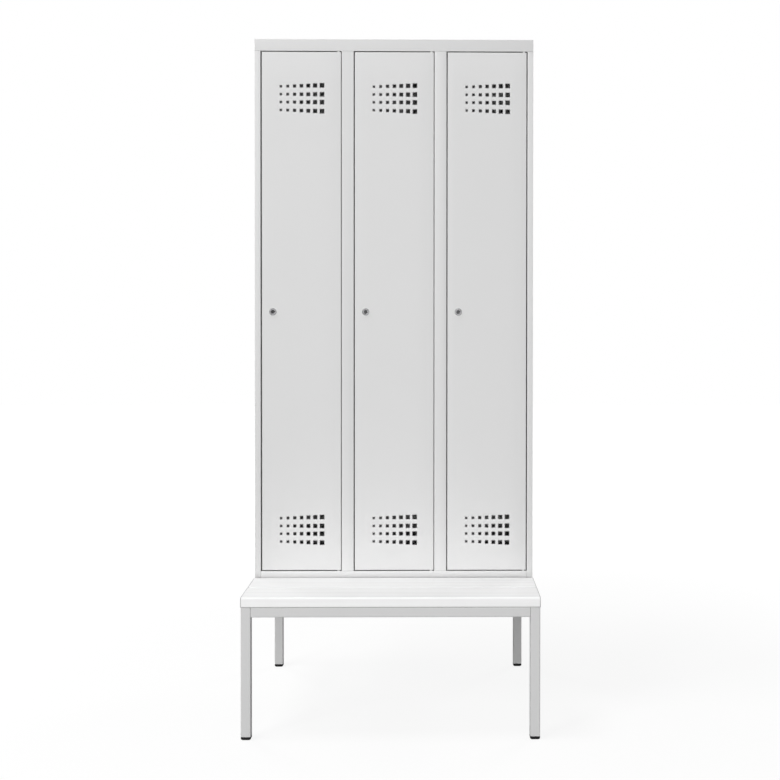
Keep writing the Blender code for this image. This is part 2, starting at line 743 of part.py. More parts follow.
def vent_mesh(x_left):
    """Cutter for both groups of square vent holes of one door."""
    mesh_data = bmesh.new()
    middle_x = x_left + DOOR_WIDTH / 2
    groups = (DOOR_TOP - VENT_TOP_DROP, DOOR_BOTTOM + VENT_BOTTOM_RISE)
    for group_z in groups:
        for column in range(VENT_COLUMNS):
            size = VENT_SMALLEST + column * VENT_GROWTH
            x = middle_x + (column - (VENT_COLUMNS - 1) / 2) * VENT_PITCH
            for row in range(VENT_ROWS):
                place_in_group = row - (VENT_ROWS - 1) / 2
                z = group_z + place_in_group * VENT_ROW_PITCH
                if row in (0, VENT_ROWS - 1):
                    z += math.copysign((size - VENT_SMALLEST) / 2, place_in_group)
                low = (x - size / 2, FACE - CUT_OVERRUN, z - size / 2)
                high = (x + size / 2, FACE + SHEET + CUT_OVERRUN, z + size / 2)
                add_box(mesh_data, low, high)
    return mesh_data


def stiffener_mesh(middle):
    """Hat-section strip welded inside a door, between the two groups of vents."""
    front = FACE + SHEET / 2
    flange = FACE + 2 * SHEET
    crown = flange + STIFFENER_DEPTH
    vent_half = (VENT_ROWS - 1) / 2 * VENT_ROW_PITCH
    bottom = DOOR_BOTTOM + VENT_BOTTOM_RISE + vent_half + STIFFENER_MARGIN
    top = DOOR_TOP - VENT_TOP_DROP - vent_half - STIFFENER_MARGIN
    outer = STIFFENER_WIDTH / 2
    web = STIFFENER_CROWN_WIDTH / 2
    outline = [
        (middle - outer, front),
        (middle - web + SHEET, front),
        (middle - web + SHEET, crown - SHEET),
        (middle + web - SHEET, crown - SHEET),
        (middle + web - SHEET, front),
        (middle + outer, front),
        (middle + outer, flange),
        (middle + web, flange),
        (middle + web, crown),
        (middle - web, crown),
        (middle - web, flange),
        (middle - outer, flange),
    ]
    return prism_mesh(outline, "Z", bottom, top)


def build_doors(paint):
    """Door pans: front sheet with rounded edges, flanges and return lips, vents, lock and pin holes."""
    for index in range(DOOR_COUNT):
        x_left = door_left_edge(index)
        x_right = x_left + DOOR_WIDTH
        hinge_x = x_right - PIN_EDGE_DISTANCE
        body = box_mesh((x_left, FACE, DOOR_BOTTOM), (x_right, DOOR_REAR, DOOR_TOP))
        edges = [edge for edge in body.edges if all(vert.co.y < FACE + SHEET for vert in edge.verts)]
        bmesh.ops.bevel(
            body, geom=edges, offset=DOOR_EDGE_ROUNDING, segments=DOOR_EDGE_STEPS, profile=0.5, affect="EDGES"
        )
        door = add_object("door_" + str(index + 1), body, paint, smooth=True, location=(hinge_x, PIN_Y, 0))
        hollow = box_mesh(
            (x_left + SHEET, FACE + SHEET, DOOR_BOTTOM + SHEET),
            (x_right - SHEET, DOOR_REAR - SHEET, DOOR_TOP - SHEET),
        )
        cut(door, hollow, "hollow")
        window = box_mesh(
            (x_left + DOOR_LIP, FACE + DOOR_DEPTH / 2, DOOR_BOTTOM + DOOR_LIP),
            (x_right - DOOR_LIP, DOOR_REAR + CUT_OVERRUN, DOOR_TOP - DOOR_LIP),
        )
        cut(door, window, "rear_opening")
        join(door, stiffener_mesh(x_left + DOOR_WIDTH / 2), "stiffener")
        cut(door, vent_mesh(x_left), "vents")
        holes = bmesh.new()
        pin_ring = circle_outline(hinge_x, PIN_Y, PIN_RADIUS + SEATING_GAP, SMALL_ROUND_STEPS)
        for z in (DOOR_BOTTOM, DOOR_TOP - SHEET):
            add_prism(holes, pin_ring, "Z", z - CUT_OVERRUN, z + SHEET + CUT_OVERRUN)
        lock_ring = circle_outline(
            x_left + LOCK_EDGE_DISTANCE, LOCK_Z, LOCK_BODY_RADIUS + LOCK_HOLE_FIT, ROUND_STEPS
        )
        add_prism(holes, lock_ring, "Y", FACE - CUT_OVERRUN, FACE + SHEET + CUT_OVERRUN)
        cut(door, holes, "holes")


def build_hinges(steel):
    """Steel pin at the top and bottom of each door; its collar runs in the gap to the frame."""
    low_inside = DOOR_BOTTOM + PIN_DOOR_LENGTH
    high_inside = DOOR_TOP - PIN_DOOR_LENGTH
    for index, x in enumerate(hinge_places()):
        for name, frame_edge, direction, inside in (
            ("hinge_pin_bottom_", SILL_TOP, 1, low_inside),
            ("hinge_pin_top_", HEADER_BOTTOM, -1, high_inside),
        ):
            collar_start = frame_edge + direction * SEATING_GAP
            collar_end = frame_edge + direction * (DOOR_END_GAP - SEATING_GAP)
            profile = (
                (0, frame_edge - direction * PIN_FRAME_LENGTH),
                (PIN_RADIUS, frame_edge - direction * PIN_FRAME_LENGTH),
                (PIN_RADIUS, collar_start),
                (PIN_COLLAR_RADIUS, collar_start),
                (PIN_COLLAR_RADIUS, collar_end),
                (PIN_RADIUS, collar_end),
                (PIN_RADIUS, inside),
                (0, inside),
            )
            pin = bmesh.new()
            add_turned(pin, (x, PIN_Y, 0), "Z", profile, SMALL_ROUND_STEPS)
            add_object(name + str(index + 1), pin, steel, smooth=True, location=(x, PIN_Y, 0))


def build_locks(chrome, steel):
    """Cylinder lock in each door: housing, nut, turning plug and cam."""
    for index in range(DOOR_COUNT):
        number = str(index + 1)
        x = door_left_edge(index) + LOCK_EDGE_DISTANCE
        hinge = (hinge_places()[index], PIN_Y, 0)
        axis_point = (x, FACE, LOCK_Z)

        housing = bmesh.new()
        head_back = -SEATING_GAP
        head_face = head_back - LOCK_HEAD_HEIGHT
        body_end = LOCK_BODY_LENGTH
        profile = (
            (LOCK_BORE_RADIUS, head_face),
            (LOCK_HEAD_RADIUS - LOCK_HEAD_CHAMFER, head_face),
            (LOCK_HEAD_RADIUS, head_face + LOCK_HEAD_CHAMFER),
            (LOCK_HEAD_RADIUS, head_back),
            (LOCK_BODY_RADIUS, head_back),
            (LOCK_BODY_RADIUS, body_end),
            (LOCK_BORE_RADIUS, body_end),
        )
        add_turned(housing, (x, LOCK_Z, FACE), "Y", profile, ROUND_STEPS)
        add_object("lock_housing_" + number, housing, chrome, smooth=True, location=hinge)

        nut_front = FACE + SHEET + SEATING_GAP
        hex_radius = LOCK_NUT_ACROSS / 2 / math.cos(math.pi / HEX_SIDES)
        hexagon = circle_outline(x, LOCK_Z, hex_radius, HEX_SIDES)
        nut = prism_mesh(hexagon, "Y", nut_front, nut_front + LOCK_NUT_HEIGHT)
        nut_piece = add_object("lock_nut_" + number, nut, steel, location=hinge)
        bore = circle_outline(x, LOCK_Z, LOCK_BODY_RADIUS + SEATING_GAP, ROUND_STEPS)
        far = nut_front + LOCK_NUT_HEIGHT + CUT_OVERRUN
        cut(nut_piece, prism_mesh(bore, "Y", nut_front - CUT_OVERRUN, far), "thread")

        plug_radius = LOCK_BORE_RADIUS - PLUG_FIT
        plug_face = FACE + head_face + PLUG_RECESS
        plug_end = FACE + LOCK_BODY_LENGTH + (CAM_FRONT - FACE - LOCK_BODY_LENGTH) / 2
        boss_end = CAM_REAR - 2 * SEATING_GAP
        plug = bmesh.new()
        profile = (
            (0, plug_face),
            (plug_radius, plug_face),
            (plug_radius, plug_end),
            (PLUG_BOSS_RADIUS, plug_end),
            (PLUG_BOSS_RADIUS, boss_end),
            (CAM_SCREW_RADIUS + SEATING_GAP, boss_end),
            (CAM_SCREW_RADIUS + SEATING_GAP, boss_end - CAM_SCREW_LENGTH),
            (0, boss_end - CAM_SCREW_LENGTH),
        )
        add_turned(plug, (x, LOCK_Z, 0), "Y", profile, ROUND_STEPS)
        plug_piece = add_object("lock_plug_" + number, plug, chrome, smooth=True, location=axis_point)
        keyway = box_mesh(
            (x - KEYWAY_WIDTH / 2, plug_face - CUT_OVERRUN, LOCK_Z - KEYWAY_HEIGHT / 2),
            (x + KEYWAY_WIDTH / 2, plug_face + KEYWAY_DEPTH, LOCK_Z + KEYWAY_HEIGHT / 2),
        )
        cut(plug_piece, keyway, "keyway")

        cam = bmesh.new()
        half_width = CAM_WIDTH / 2
        outline = rounded_outline(
            x - half_width,
            x + half_width,
            LOCK_Z - CAM_REACH,
            LOCK_Z + half_width,
            [half_width / 2, half_width / 2, half_width, half_width],
            DOOR_EDGE_STEPS * 2,
        )
        add_prism(cam, outline, "Y", CAM_FRONT, CAM_REAR)
        cam_piece = add_object("lock_cam_" + number, cam, steel, location=axis_point)
        cam_hole = circle_outline(x, LOCK_Z, PLUG_BOSS_RADIUS + SEATING_GAP, ROUND_STEPS)
        cut(cam_piece, prism_mesh(cam_hole, "Y", CAM_FRONT - CUT_OVERRUN, CAM_REAR + CUT_OVERRUN), "hole")
        screw = bmesh.new()
        head_start = CAM_REAR - SEATING_GAP
        profile = (
            (0, boss_end - CAM_SCREW_LENGTH + SEATING_GAP),
            (CAM_SCREW_RADIUS, boss_end - CAM_SCREW_LENGTH + SEATING_GAP),
            (CAM_SCREW_RADIUS, head_start),
            (CAM_SCREW_HEAD_RADIUS, head_start),
            (CAM_SCREW_HEAD_RADIUS, head_start + CAM_SCREW_HEAD_HEIGHT),
            (0, head_start + CAM_SCREW_HEAD_HEIGHT),
        )
        add_turned(screw, (x, LOCK_Z, 0), "Y", profile, SMALL_ROUND_STEPS)
        join(cam_piece, screw, "screw")


for leftover in list(bpy.data.objects):
    bpy.data.objects.remove(leftover, do_unlink=True)

cabinet_paint = make_material("light_grey_powder_coat", (0.71, 0.71, 0.70), 0.45, 0.0)
frame_paint = make_material("frame_grey_powder_coat", (0.62, 0.62, 0.61), 0.45, 0.0)
slat_plastic = make_material("off_white_plastic", (0.84, 0.84, 0.83), 0.40, 0.0)
cap_plastic = make_material("grey_cap_plastic", (0.62, 0.62, 0.62), 0.50, 0.0)
black_plastic = make_material("black_plastic", (0.02, 0.02, 0.02), 0.55, 0.0)
chrome = make_material("chrome", (0.70, 0.70, 0.71), 0.15, 1.0)
zinc_steel = make_material("zinc_plated_steel", (0.60, 0.61, 0.62), 0.35, 1.0)

build_legs(frame_paint)
build_foot_plugs(black_plastic)
build_rails(frame_paint)
build_slats(slat_plastic, cap_plastic)
build_side_panels(cabinet_paint)
build_back_panel(cabinet_paint)
build_roof_panel(cabinet_paint)
build_header_and_sill(cabinet_paint)
build_base_pan(cabinet_paint)
build_mullions(cabinet_paint)
build_partitions(cabinet_paint)
build_shelves(cabinet_paint)
build_clothes_rails(zinc_steel)
build_coat_hooks(black_plastic)
build_doors(cabinet_paint)
build_hinges(zinc_steel)
build_locks(chrome, zinc_steel)
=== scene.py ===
import json
import math

import bmesh
import bpy
from mathutils import Matrix, Vector

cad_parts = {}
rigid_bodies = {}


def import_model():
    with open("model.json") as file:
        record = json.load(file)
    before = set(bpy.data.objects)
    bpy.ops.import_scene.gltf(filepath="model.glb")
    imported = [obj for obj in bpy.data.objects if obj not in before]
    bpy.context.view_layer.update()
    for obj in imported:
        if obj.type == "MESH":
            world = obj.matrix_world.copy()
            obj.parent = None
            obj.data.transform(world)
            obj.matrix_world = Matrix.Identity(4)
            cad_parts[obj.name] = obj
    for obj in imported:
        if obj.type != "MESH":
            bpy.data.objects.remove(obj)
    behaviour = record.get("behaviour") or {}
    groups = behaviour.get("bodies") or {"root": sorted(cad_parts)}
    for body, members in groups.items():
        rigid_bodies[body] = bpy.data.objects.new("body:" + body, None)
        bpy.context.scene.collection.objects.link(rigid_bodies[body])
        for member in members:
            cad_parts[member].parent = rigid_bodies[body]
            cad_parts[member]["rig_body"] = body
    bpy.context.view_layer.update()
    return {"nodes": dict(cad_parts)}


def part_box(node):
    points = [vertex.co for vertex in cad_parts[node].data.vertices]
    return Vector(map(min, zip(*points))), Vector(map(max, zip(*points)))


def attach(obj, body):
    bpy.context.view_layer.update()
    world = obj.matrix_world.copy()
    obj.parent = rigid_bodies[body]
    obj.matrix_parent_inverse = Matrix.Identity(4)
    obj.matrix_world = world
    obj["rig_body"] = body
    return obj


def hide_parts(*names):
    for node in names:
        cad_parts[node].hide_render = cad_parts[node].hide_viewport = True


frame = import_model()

nodes = frame["nodes"]


# The camera stands a little right of the locker's middle, at chest height, and looks almost level. Its
# lens is shifted a little, as in the photograph, where upright and level edges stay nearly parallel.
CAMERA_PLACE = (0.1287, -3.9345, 1.2532)
CAMERA_YAW = -0.01187
CAMERA_PITCH = -0.01175
CAMERA_ROLL = 0.0010
FOCAL_PIXELS = 1181.8
PRINCIPAL_POINT = (447.8, 337.2)
IMAGE_SIDE = 780.0
SENSOR_WIDTH = 36.0


def in_scene(name, data):
    """A new object in the scene."""
    thing = bpy.data.objects.new(name, data)
    bpy.context.scene.collection.objects.link(thing)
    return thing


camera_data = bpy.data.cameras.new("camera")
camera_data.sensor_width = SENSOR_WIDTH
camera_data.lens = FOCAL_PIXELS / IMAGE_SIDE * SENSOR_WIDTH
camera_data.shift_x = 0.5 - PRINCIPAL_POINT[0] / IMAGE_SIDE
camera_data.shift_y = PRINCIPAL_POINT[1] / IMAGE_SIDE - 0.5
camera = in_scene("camera", camera_data)
faced = Matrix.Rotation(CAMERA_YAW, 4, "Z")
tipped = Matrix.Rotation(math.pi / 2 + CAMERA_PITCH, 4, "X")
rolled = Matrix.Rotation(CAMERA_ROLL, 4, "Z")
camera.matrix_world = Matrix.Translation(CAMERA_PLACE) @ faced @ tipped @ rolled
bpy.context.scene.camera = camera
bpy.context.scene.view_settings.view_transform = "Standard"


# The room is a white studio: a pale floor that keeps the locker's soft shadow, a white surround, and soft
# lamps in front of the locker and above it.
FLOOR_HALF_SIDE = 14.0
FLOOR_TONE = 0.12
FLOOR_WHITE_NEAR = 0.88
FLOOR_WHITE_FAR = 1.0
FLOOR_NEAR = 0.8
FLOOR_FAR = 5.0
SURROUND_LIGHT = 0.20
LAMP_WIDTH = 2.4
LAMP_HEIGHT = 1.6
LAMPS = (
    ("lamp_high_left", (-5.14, -6.13, 5.0), LAMP_HEIGHT, 278.0),
    ("lamp_low_front", (0.0, -8.0, 0.35), LAMP_HEIGHT, 234.0),
    ("lamp_front", (0.0, -8.0, 2.6), LAMP_HEIGHT, 87.0),
    ("lamp_low_right", (2.74, -7.52, 0.35), LAMP_HEIGHT, 82.0),
    ("lamp_above", (-3.0, -1.0, 8.0), LAMP_WIDTH, 250.0),
    ("lamp_rear_left", (-5.0, 5.5, 5.0), LAMP_WIDTH, 130.0),
    ("lamp_rear_right", (5.0, 5.5, 5.0), LAMP_WIDTH, 130.0),
)
LOCKER_MIDDLE = (0.0, 0.0, 1.0)


def add_node(tree, kind, inputs=None, **options):
    """Add a shader node, set its options, and fill its inputs with values or other nodes' outputs."""
    node = tree.nodes.new(kind)
    for option, choice in options.items():
        setattr(node, option, choice)
    for socket, source in (inputs or {}).items():
        if isinstance(source, bpy.types.NodeSocket):
            tree.links.new(source, node.inputs[socket])
        else:
            node.inputs[socket].default_value = source
    return node


def reckon(tree, operation, *terms):
    """Result of a math node on values or other nodes' outputs."""
    return add_node(tree, "ShaderNodeMath", dict(enumerate(terms)), operation=operation).outputs[0]


def ranged(tree, value, low, high, start=0.0, end=1.0, **options):
    """Low to high while a value goes from start to end."""
    inputs = {"Value": value, "From Min": start, "From Max": end, "To Min": low, "To Max": high}
    return add_node(tree, "ShaderNodeMapRange", inputs, **options).outputs["Result"]


def seen_ray(tree):
    """1 for the rays that show the room itself: to the camera, in a reflection or through something."""
    rays = add_node(tree, "ShaderNodeLightPath").outputs
    mirrored = reckon(tree, "MAXIMUM", rays["Is Camera Ray"], rays["Is Glossy Ray"])
    return reckon(tree, "MAXIMUM", mirrored, rays["Is Transmission Ray"])


floor_shape = bmesh.new()
bmesh.ops.create_grid(floor_shape, x_segments=2, y_segments=2, size=FLOOR_HALF_SIDE)
floor_mesh = bpy.data.meshes.new("studio_floor")
floor_shape.to_mesh(floor_mesh)
floor_shape.free()
in_scene("studio_floor", floor_mesh)

floor_material = bpy.data.materials.new("studio_floor")
floor_material.use_nodes = True
tree = floor_material.node_tree
tree.nodes.clear()
floor_place = add_node(tree, "ShaderNodeTexCoord").outputs["Object"]
floor_reach = add_node(tree, "ShaderNodeVectorMath", {0: floor_place}, operation="LENGTH").outputs["Value"]
white_range = (FLOOR_WHITE_NEAR, FLOOR_WHITE_FAR, FLOOR_NEAR, FLOOR_FAR)
floor_white = ranged(tree, floor_reach, *white_range, interpolation_type="SMOOTHSTEP")
floor_strength = reckon(tree, "MULTIPLY", seen_ray(tree), floor_white)
floor_glow = add_node(tree, "ShaderNodeEmission", {"Strength": floor_strength})
floor_colour = (FLOOR_TONE, FLOOR_TONE, FLOOR_TONE, 1.0)
floor_diffuse = add_node(tree, "ShaderNodeBsdfDiffuse", {"Color": floor_colour})
floor_sum = add_node(tree, "ShaderNodeAddShader", {0: floor_diffuse.outputs[0], 1: floor_glow.outputs[0]})
add_node(tree, "ShaderNodeOutputMaterial", {"Surface": floor_sum.outputs[0]})
floor_mesh.materials.append(floor_material)

world = bpy.data.worlds.new("studio_surround")
bpy.context.scene.world = world
world.use_nodes = True
tree = world.node_tree
surround = tree.nodes["Background"]
surround.inputs["Color"].default_value = (1.0, 1.0, 1.0, 1.0)
tree.links.new(ranged(tree, seen_ray(tree), SURROUND_LIGHT, 1.0), surround.inputs["Strength"])

for name, place, height, watts in LAMPS:
    lamp = bpy.data.lights.new(name, "AREA")
    lamp.shape = "RECTANGLE"
    lamp.size = LAMP_WIDTH
    lamp.size_y = height
    lamp.energy = watts
    stand = in_scene(name, lamp)
    stand.location = place
    stand.rotation_euler = (Vector(LOCKER_MIDDLE) - Vector(place)).to_track_quat("-Z", "Y").to_euler()


# Bench frame: square steel tubes, cut square and welded at the corners, then powder coated light grey.
# The tubes keep their rolled corner radius. Small weld beads sit in the inner corners.
FRAME_GREY = (0.635, 0.635, 0.635)
PAINT_SHINE = 0.22
PAINT_GLOSS = (0.40, 0.58)
CLOUD_SCALE = 2.6
CLOUD_DETAIL = 4.0
CLOUD_ROUGHNESS = 0.55
PEEL_SCALE = 620.0
PEEL_DETAIL = 2.5
PEEL_DEPTH = 0.22
PEEL_HEIGHT = 0.0003
# Painted shade in the powder coat: its colour darkens in gaps narrower than about GAP_REACH, found by
# ambient occlusion.
GAP_REACH = 0.020
GAP_SHUT = 0.08
GAP_OPEN = 0.42
GAP_PAINTED_SHADE = 0.22
GAP_SAMPLES = 6
TUBE = 0.030
WELD_INSET = 0.004
BEAD_SIZE = 0.0022
BEAD_RIPPLE = 0.0026
BEAD_RINGS_PER_RIPPLE = 4
BEAD_LEAST_STEPS = 4
BEAD_FAN = 5
BEAD_END_SIZE = 0.45
BEAD_TAPER = 4.0
BEAD_SWELL = 0.10
BEAD_HOLLOW = 0.80
BEAD_BULGE = 0.10
BEAD_CREASE = 60.0


def open_group(name, inputs):
    """Start a skin: a node group with named inputs that puts out a colour, a roughness and a normal."""
    group = bpy.data.node_groups.new(name, "ShaderNodeTree")
    for label, kind in {**inputs, "Gloss Low": "Float", "Gloss High": "Float"}.items():
        group.interface.new_socket(label, in_out="INPUT", socket_type="NodeSocket" + kind)
    for label, kind in (("Color", "Color"), ("Roughness", "Float"), ("Normal", "Vector")):
        group.interface.new_socket(label, in_out="OUTPUT", socket_type="NodeSocket" + kind)
    entry = add_node(group, "NodeGroupInput").outputs
    place = add_node(group, "ShaderNodeTexCoord").outputs["Object"]
    return group, entry, place


def close_group(group, entry, colour, tone, sheen, relief, depth, height):
    """Finish a skin: its toned colour, a gloss that follows one pattern, and a bump from another."""
    tinted = add_node(group, "ShaderNodeVectorMath", {0: entry[colour], "Scale": tone}, operation="SCALE")
    raised = {"Strength": entry[depth], "Distance": height, "Height": relief}
    bump = add_node(group, "ShaderNodeBump", raised)
    add_node(group, "NodeGroupOutput", {
        "Color": tinted.outputs[0],
        "Roughness": ranged(group, sheen, entry["Gloss Low"], entry["Gloss High"]),
        "Normal": bump.outputs["Normal"],
    })


def noise(group, place, scale, detail, roughness=0.5):
    """Smooth noise of 0 to 1."""
    inputs = {"Vector": place, "Scale": scale, "Detail": detail, "Roughness": roughness}
    return add_node(group, "ShaderNodeTexNoise", inputs).outputs["Fac"]


def varied(group, pattern, amount):
    """A tone factor about 1 that follows a pattern of 0 to 1."""
    centred = reckon(group, "SUBTRACT", pattern, 0.5)
    return reckon(group, "MULTIPLY_ADD", centred, amount, 1.0)


def skinned(name, skin, gloss, settings, surface_settings):
    """A material: the Principled shader with a skin's colour, roughness and normal."""
    material = bpy.data.materials.new(name)
    material.use_nodes = True
    surface = material.node_tree.nodes["Principled BSDF"]
    for socket, value in surface_settings.items():
        surface.inputs[socket].default_value = value
    settings = {**settings, "Gloss Low": gloss[0], "Gloss High": gloss[1]}
    coat = add_node(material.node_tree, "ShaderNodeGroup", settings, node_tree=skin)
    for output, socket in (("Color", "Base Color"), ("Roughness", "Roughness"), ("Normal", "Normal")):
        material.node_tree.links.new(coat.outputs[output], surface.inputs[socket])
    return material


def powder_coat_skin():
    """Baked powder paint: a faint cloud of tone, the pebbled skin called orange peel, and its gloss.

    It also has painted shade: its colour darkens in narrow gaps, found by ambient occlusion, a guess that
    brings them near the sharpened photograph's.
    """
    group, entry, place = open_group("powder_coat_and_gap_shade", {
        "Paint": "Color",
        "Tone Spread": "Float",
        "Peel Scale": "Float",
        "Peel Depth": "Float",
    })
    cloud = noise(group, place, CLOUD_SCALE, CLOUD_DETAIL, CLOUD_ROUGHNESS)
    # Painted shade: ambient occlusion darkens the paint's colour in narrow gaps.
    openness = add_node(group, "ShaderNodeAmbientOcclusion", {"Distance": GAP_REACH}, samples=GAP_SAMPLES)
    gap_painted_shade = ranged(group, openness.outputs["AO"], GAP_PAINTED_SHADE, 1.0, GAP_SHUT, GAP_OPEN)
    tone = reckon(group, "MULTIPLY", varied(group, cloud, entry["Tone Spread"]), gap_painted_shade)
    peel = noise(group, place, entry["Peel Scale"], PEEL_DETAIL)
    close_group(group, entry, "Paint", tone, peel, peel, "Peel Depth", PEEL_HEIGHT)
    return group


powder_coat_and_gap_shade = powder_coat_skin()


def painted_steel(name, paint, tone_spread):
    """Steel with a half-matt coat of baked powder paint."""
    settings = {
        "Paint": (*paint, 1.0),
        "Tone Spread": tone_spread,
        "Peel Scale": PEEL_SCALE,
        "Peel Depth": PEEL_DEPTH,
    }
    return skinned(name, powder_coat_and_gap_shade, PAINT_GLOSS, settings, {"Specular IOR Level": PAINT_SHINE})


def finish_nodes(starts, material):
    """Give CAD nodes whose shape is right, found by the start of their names, their real finish."""
    for name in nodes:
        if name.startswith(starts):
            slots = nodes[name].data.materials
            for index in range(len(slots)):
                slots[index] = material


def stand_up(name, shape):
    """Turn a bmesh into an object in the scene, with its faces looking outwards."""
    bmesh.ops.recalc_face_normals(shape, faces=shape.faces[:])
    mesh = bpy.data.meshes.new(name)
    shape.to_mesh(mesh)
    shape.free()
    return in_scene(name, mesh)


def make_piece(name, shape, material, body, crease=35.0):
    """Turn a bmesh into a piece of the locker that rides on one of its bodies."""
    piece = stand_up(name, shape)
    piece.data.shade_smooth()
    piece.data.set_sharp_from_angle(angle=math.radians(crease))
    piece.data.materials.append(material)
    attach(piece, body)
    return piece


def band(shape, ring, following):
    """Faces from one ring of points to the next."""
    faces = []
    for index in range(len(ring)):
        after = (index + 1) % len(ring)
        corners = (ring[index], ring[after], following[after], following[index])
        faces.append(shape.faces.new(corners))
    return faces


def closed_skin(shape, rings):
    """A closed body through rings of points."""
    for ring, following in zip(rings, rings[1:]):
        band(shape, ring, following)
    shape.faces.new(rings[0])
    shape.faces.new(rings[-1])


def add_bead(shape, start, end, along_a, along_b):
    """Weld bead in the corner between two faces, rippled as the welder's steps leave it."""
    start = Vector(start)
    end = Vector(end)
    length = (end - start).length
    count = max(BEAD_LEAST_STEPS, round(length / BEAD_RIPPLE * BEAD_RINGS_PER_RIPPLE))
    rings = []
    for step in range(count + 1):
        share = step / count
        taper = min(1.0, BEAD_END_SIZE + BEAD_TAPER * min(share, 1.0 - share))
        swell = 1.0 + BEAD_SWELL * math.sin(math.tau * share * length / BEAD_RIPPLE)
        reach = BEAD_SIZE * taper * swell
        middle = start.lerp(end, share)
        ring = [shape.verts.new(middle)]
        for turn in range(BEAD_FAN + 1):
            angle = turn / BEAD_FAN * math.pi / 2
            out = Vector(along_a) * math.cos(angle) + Vector(along_b) * math.sin(angle)
            bulge = BEAD_HOLLOW + BEAD_BULGE * math.sin(2 * angle)
            ring.append(shape.verts.new(middle + out * reach * bulge))
        rings.append(ring)
    closed_skin(shape, rings)


frame_paint = painted_steel("frame_powder_coat", FRAME_GREY, tone_spread=0.04)
finish_nodes(("leg_", "bench_"), frame_paint)

rail_low, rail_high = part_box("bench_front_rail")
rear_low, rear_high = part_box("bench_rear_rail")
cross_low, cross_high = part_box("bench_cross_rail")
inner_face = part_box("leg_front_right")[0].x
beads = bmesh.new()
for side in (-1, 1):
    wall = side * inner_face
    inwards = (-side, 0, 0)
    down = (0, 0, -1)
    for low, high in ((rail_low, rail_high), (rear_low, rear_high)):
        near = (wall, low.y + WELD_INSET, low.z)
        far = (wall, high.y - WELD_INSET, low.z)
        add_bead(beads, near, far, inwards, down)
    outer_wall = side * (inner_face + TUBE)
    for y, ahead in ((rail_high.y, (0, 1, 0)), (rear_low.y, (0, -1, 0))):
        near = (outer_wall - side * WELD_INSET, y, rail_low.z)
        far = (wall + side * WELD_INSET, y, rail_low.z)
        add_bead(beads, near, far, ahead, down)
    for y, ahead in ((cross_low.y, (0, -1, 0)), (cross_high.y, (0, 1, 0))):
        low_end = (wall, y, cross_low.z + WELD_INSET)
        high_end = (wall, y, cross_high.z - WELD_INSET)
        add_bead(beads, low_end, high_end, inwards, ahead)
make_piece("frame_welds", beads, frame_paint, "cabinet", BEAD_CREASE)


# Black plastic plugs close the lower ends of the legs. Each is injection moulded with a chamfered foot
# and is knocked into the tube.
FOOT_BLACK = (0.011, 0.011, 0.0115)
FOOT_EDGE = 0.0006
DRAW_LINE_SCALE = (0.6, 75.0, 75.0)
PLASTIC_DETAIL = 3.0
HAZE_SCALE = 9.0
HAZE_TONE = (0.98, 1.02)
GRAIN_HEIGHT = 0.0002
MERGE_REACH = 0.00002
FLAT_DEGREES = 0.5


def stretched_noise(group, place, stretch, detail):
    """Noise whose grain is pulled out along the axes."""
    pulled = add_node(group, "ShaderNodeVectorMath", {0: place, 1: stretch}, operation="MULTIPLY")
    return noise(group, pulled.outputs[0], 1.0, detail)


def moulded_plastic_skin():
    """Plastic skin: fine mould texture, the lengthwise lines of an extruded bar, and uneven gloss."""
    group, entry, place = open_group("plastic_skin", {
        "Plastic": "Color",
        "Grain Scale": "Vector",
        "Grain Depth": "Float",
        "Draw Lines": "Float",
    })
    streak = stretched_noise(group, place, DRAW_LINE_SCALE, PLASTIC_DETAIL)
    grain = stretched_noise(group, place, entry["Grain Scale"], PLASTIC_DETAIL)
    haze = noise(group, place, HAZE_SCALE, PLASTIC_DETAIL)
    drawn = varied(group, streak, entry["Draw Lines"])
    tone = reckon(group, "MULTIPLY", ranged(group, haze, *HAZE_TONE), drawn)
    close_group(group, entry, "Plastic", tone, haze, grain, "Grain Depth", GRAIN_HEIGHT)
    return group


plastic_skin = moulded_plastic_skin()


def plastic(name, colour, grain, grain_depth, gloss, shine=0.5, draw_lines=0.0):
    """A moulded or extruded plastic."""
    settings = {
        "Plastic": (*colour, 1.0),
        "Grain Scale": grain,
        "Grain Depth": grain_depth,
        "Draw Lines": draw_lines,
    }
    return skinned(name, plastic_skin, gloss, settings, {"Specular IOR Level": shine})


def clean_copy(node_name):
    """The CAD node's shape as a bmesh with flat faces whole again."""
    shape = bmesh.new()
    shape.from_mesh(nodes[node_name].data)
    bmesh.ops.remove_doubles(shape, verts=shape.verts[:], dist=MERGE_REACH)
    flat = math.radians(FLAT_DEGREES)
    bmesh.ops.dissolve_limit(shape, angle_limit=flat, verts=shape.verts[:], edges=shape.edges[:])
    return shape


def round_edges(shape, edges, radius, segments, clamp=True):
    """Break edges with a small radius."""
    rounding = {"offset": radius, "segments": segments, "profile": 0.5, "clamp_overlap": clamp}
    bmesh.ops.bevel(shape, geom=edges, affect="EDGES", **rounding)


def show_instead(node_name, shape, material, crease=35.0):
    """Make a piece that is seen in the place of a CAD node and rides on the node's body."""
    body = nodes[node_name]["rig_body"]
    piece = make_piece("shown_" + node_name, shape, material, body, crease)
    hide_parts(node_name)
    return piece


def eased_piece(node_name, material, radius, segments, least_turn):
    """A moulded or cut part whose sharp edges are broken by a small radius."""
    shape = clean_copy(node_name)
    sharp = [
        edge
        for edge in shape.edges
        if len(edge.link_faces) == 2 and edge.calc_face_angle() > math.radians(least_turn)
    ]
    round_edges(shape, sharp, radius, segments)
    show_instead(node_name, shape, material)


foot_plastic = plastic(
    "foot_plastic", FOOT_BLACK, grain=(900.0,) * 3, grain_depth=0.35, gloss=(0.55, 0.75), shine=0.1
)
for name in nodes:
    if name.startswith("foot_plug"):
        eased_piece(name, foot_plastic, FOOT_EDGE, segments=2, least_turn=30.0)


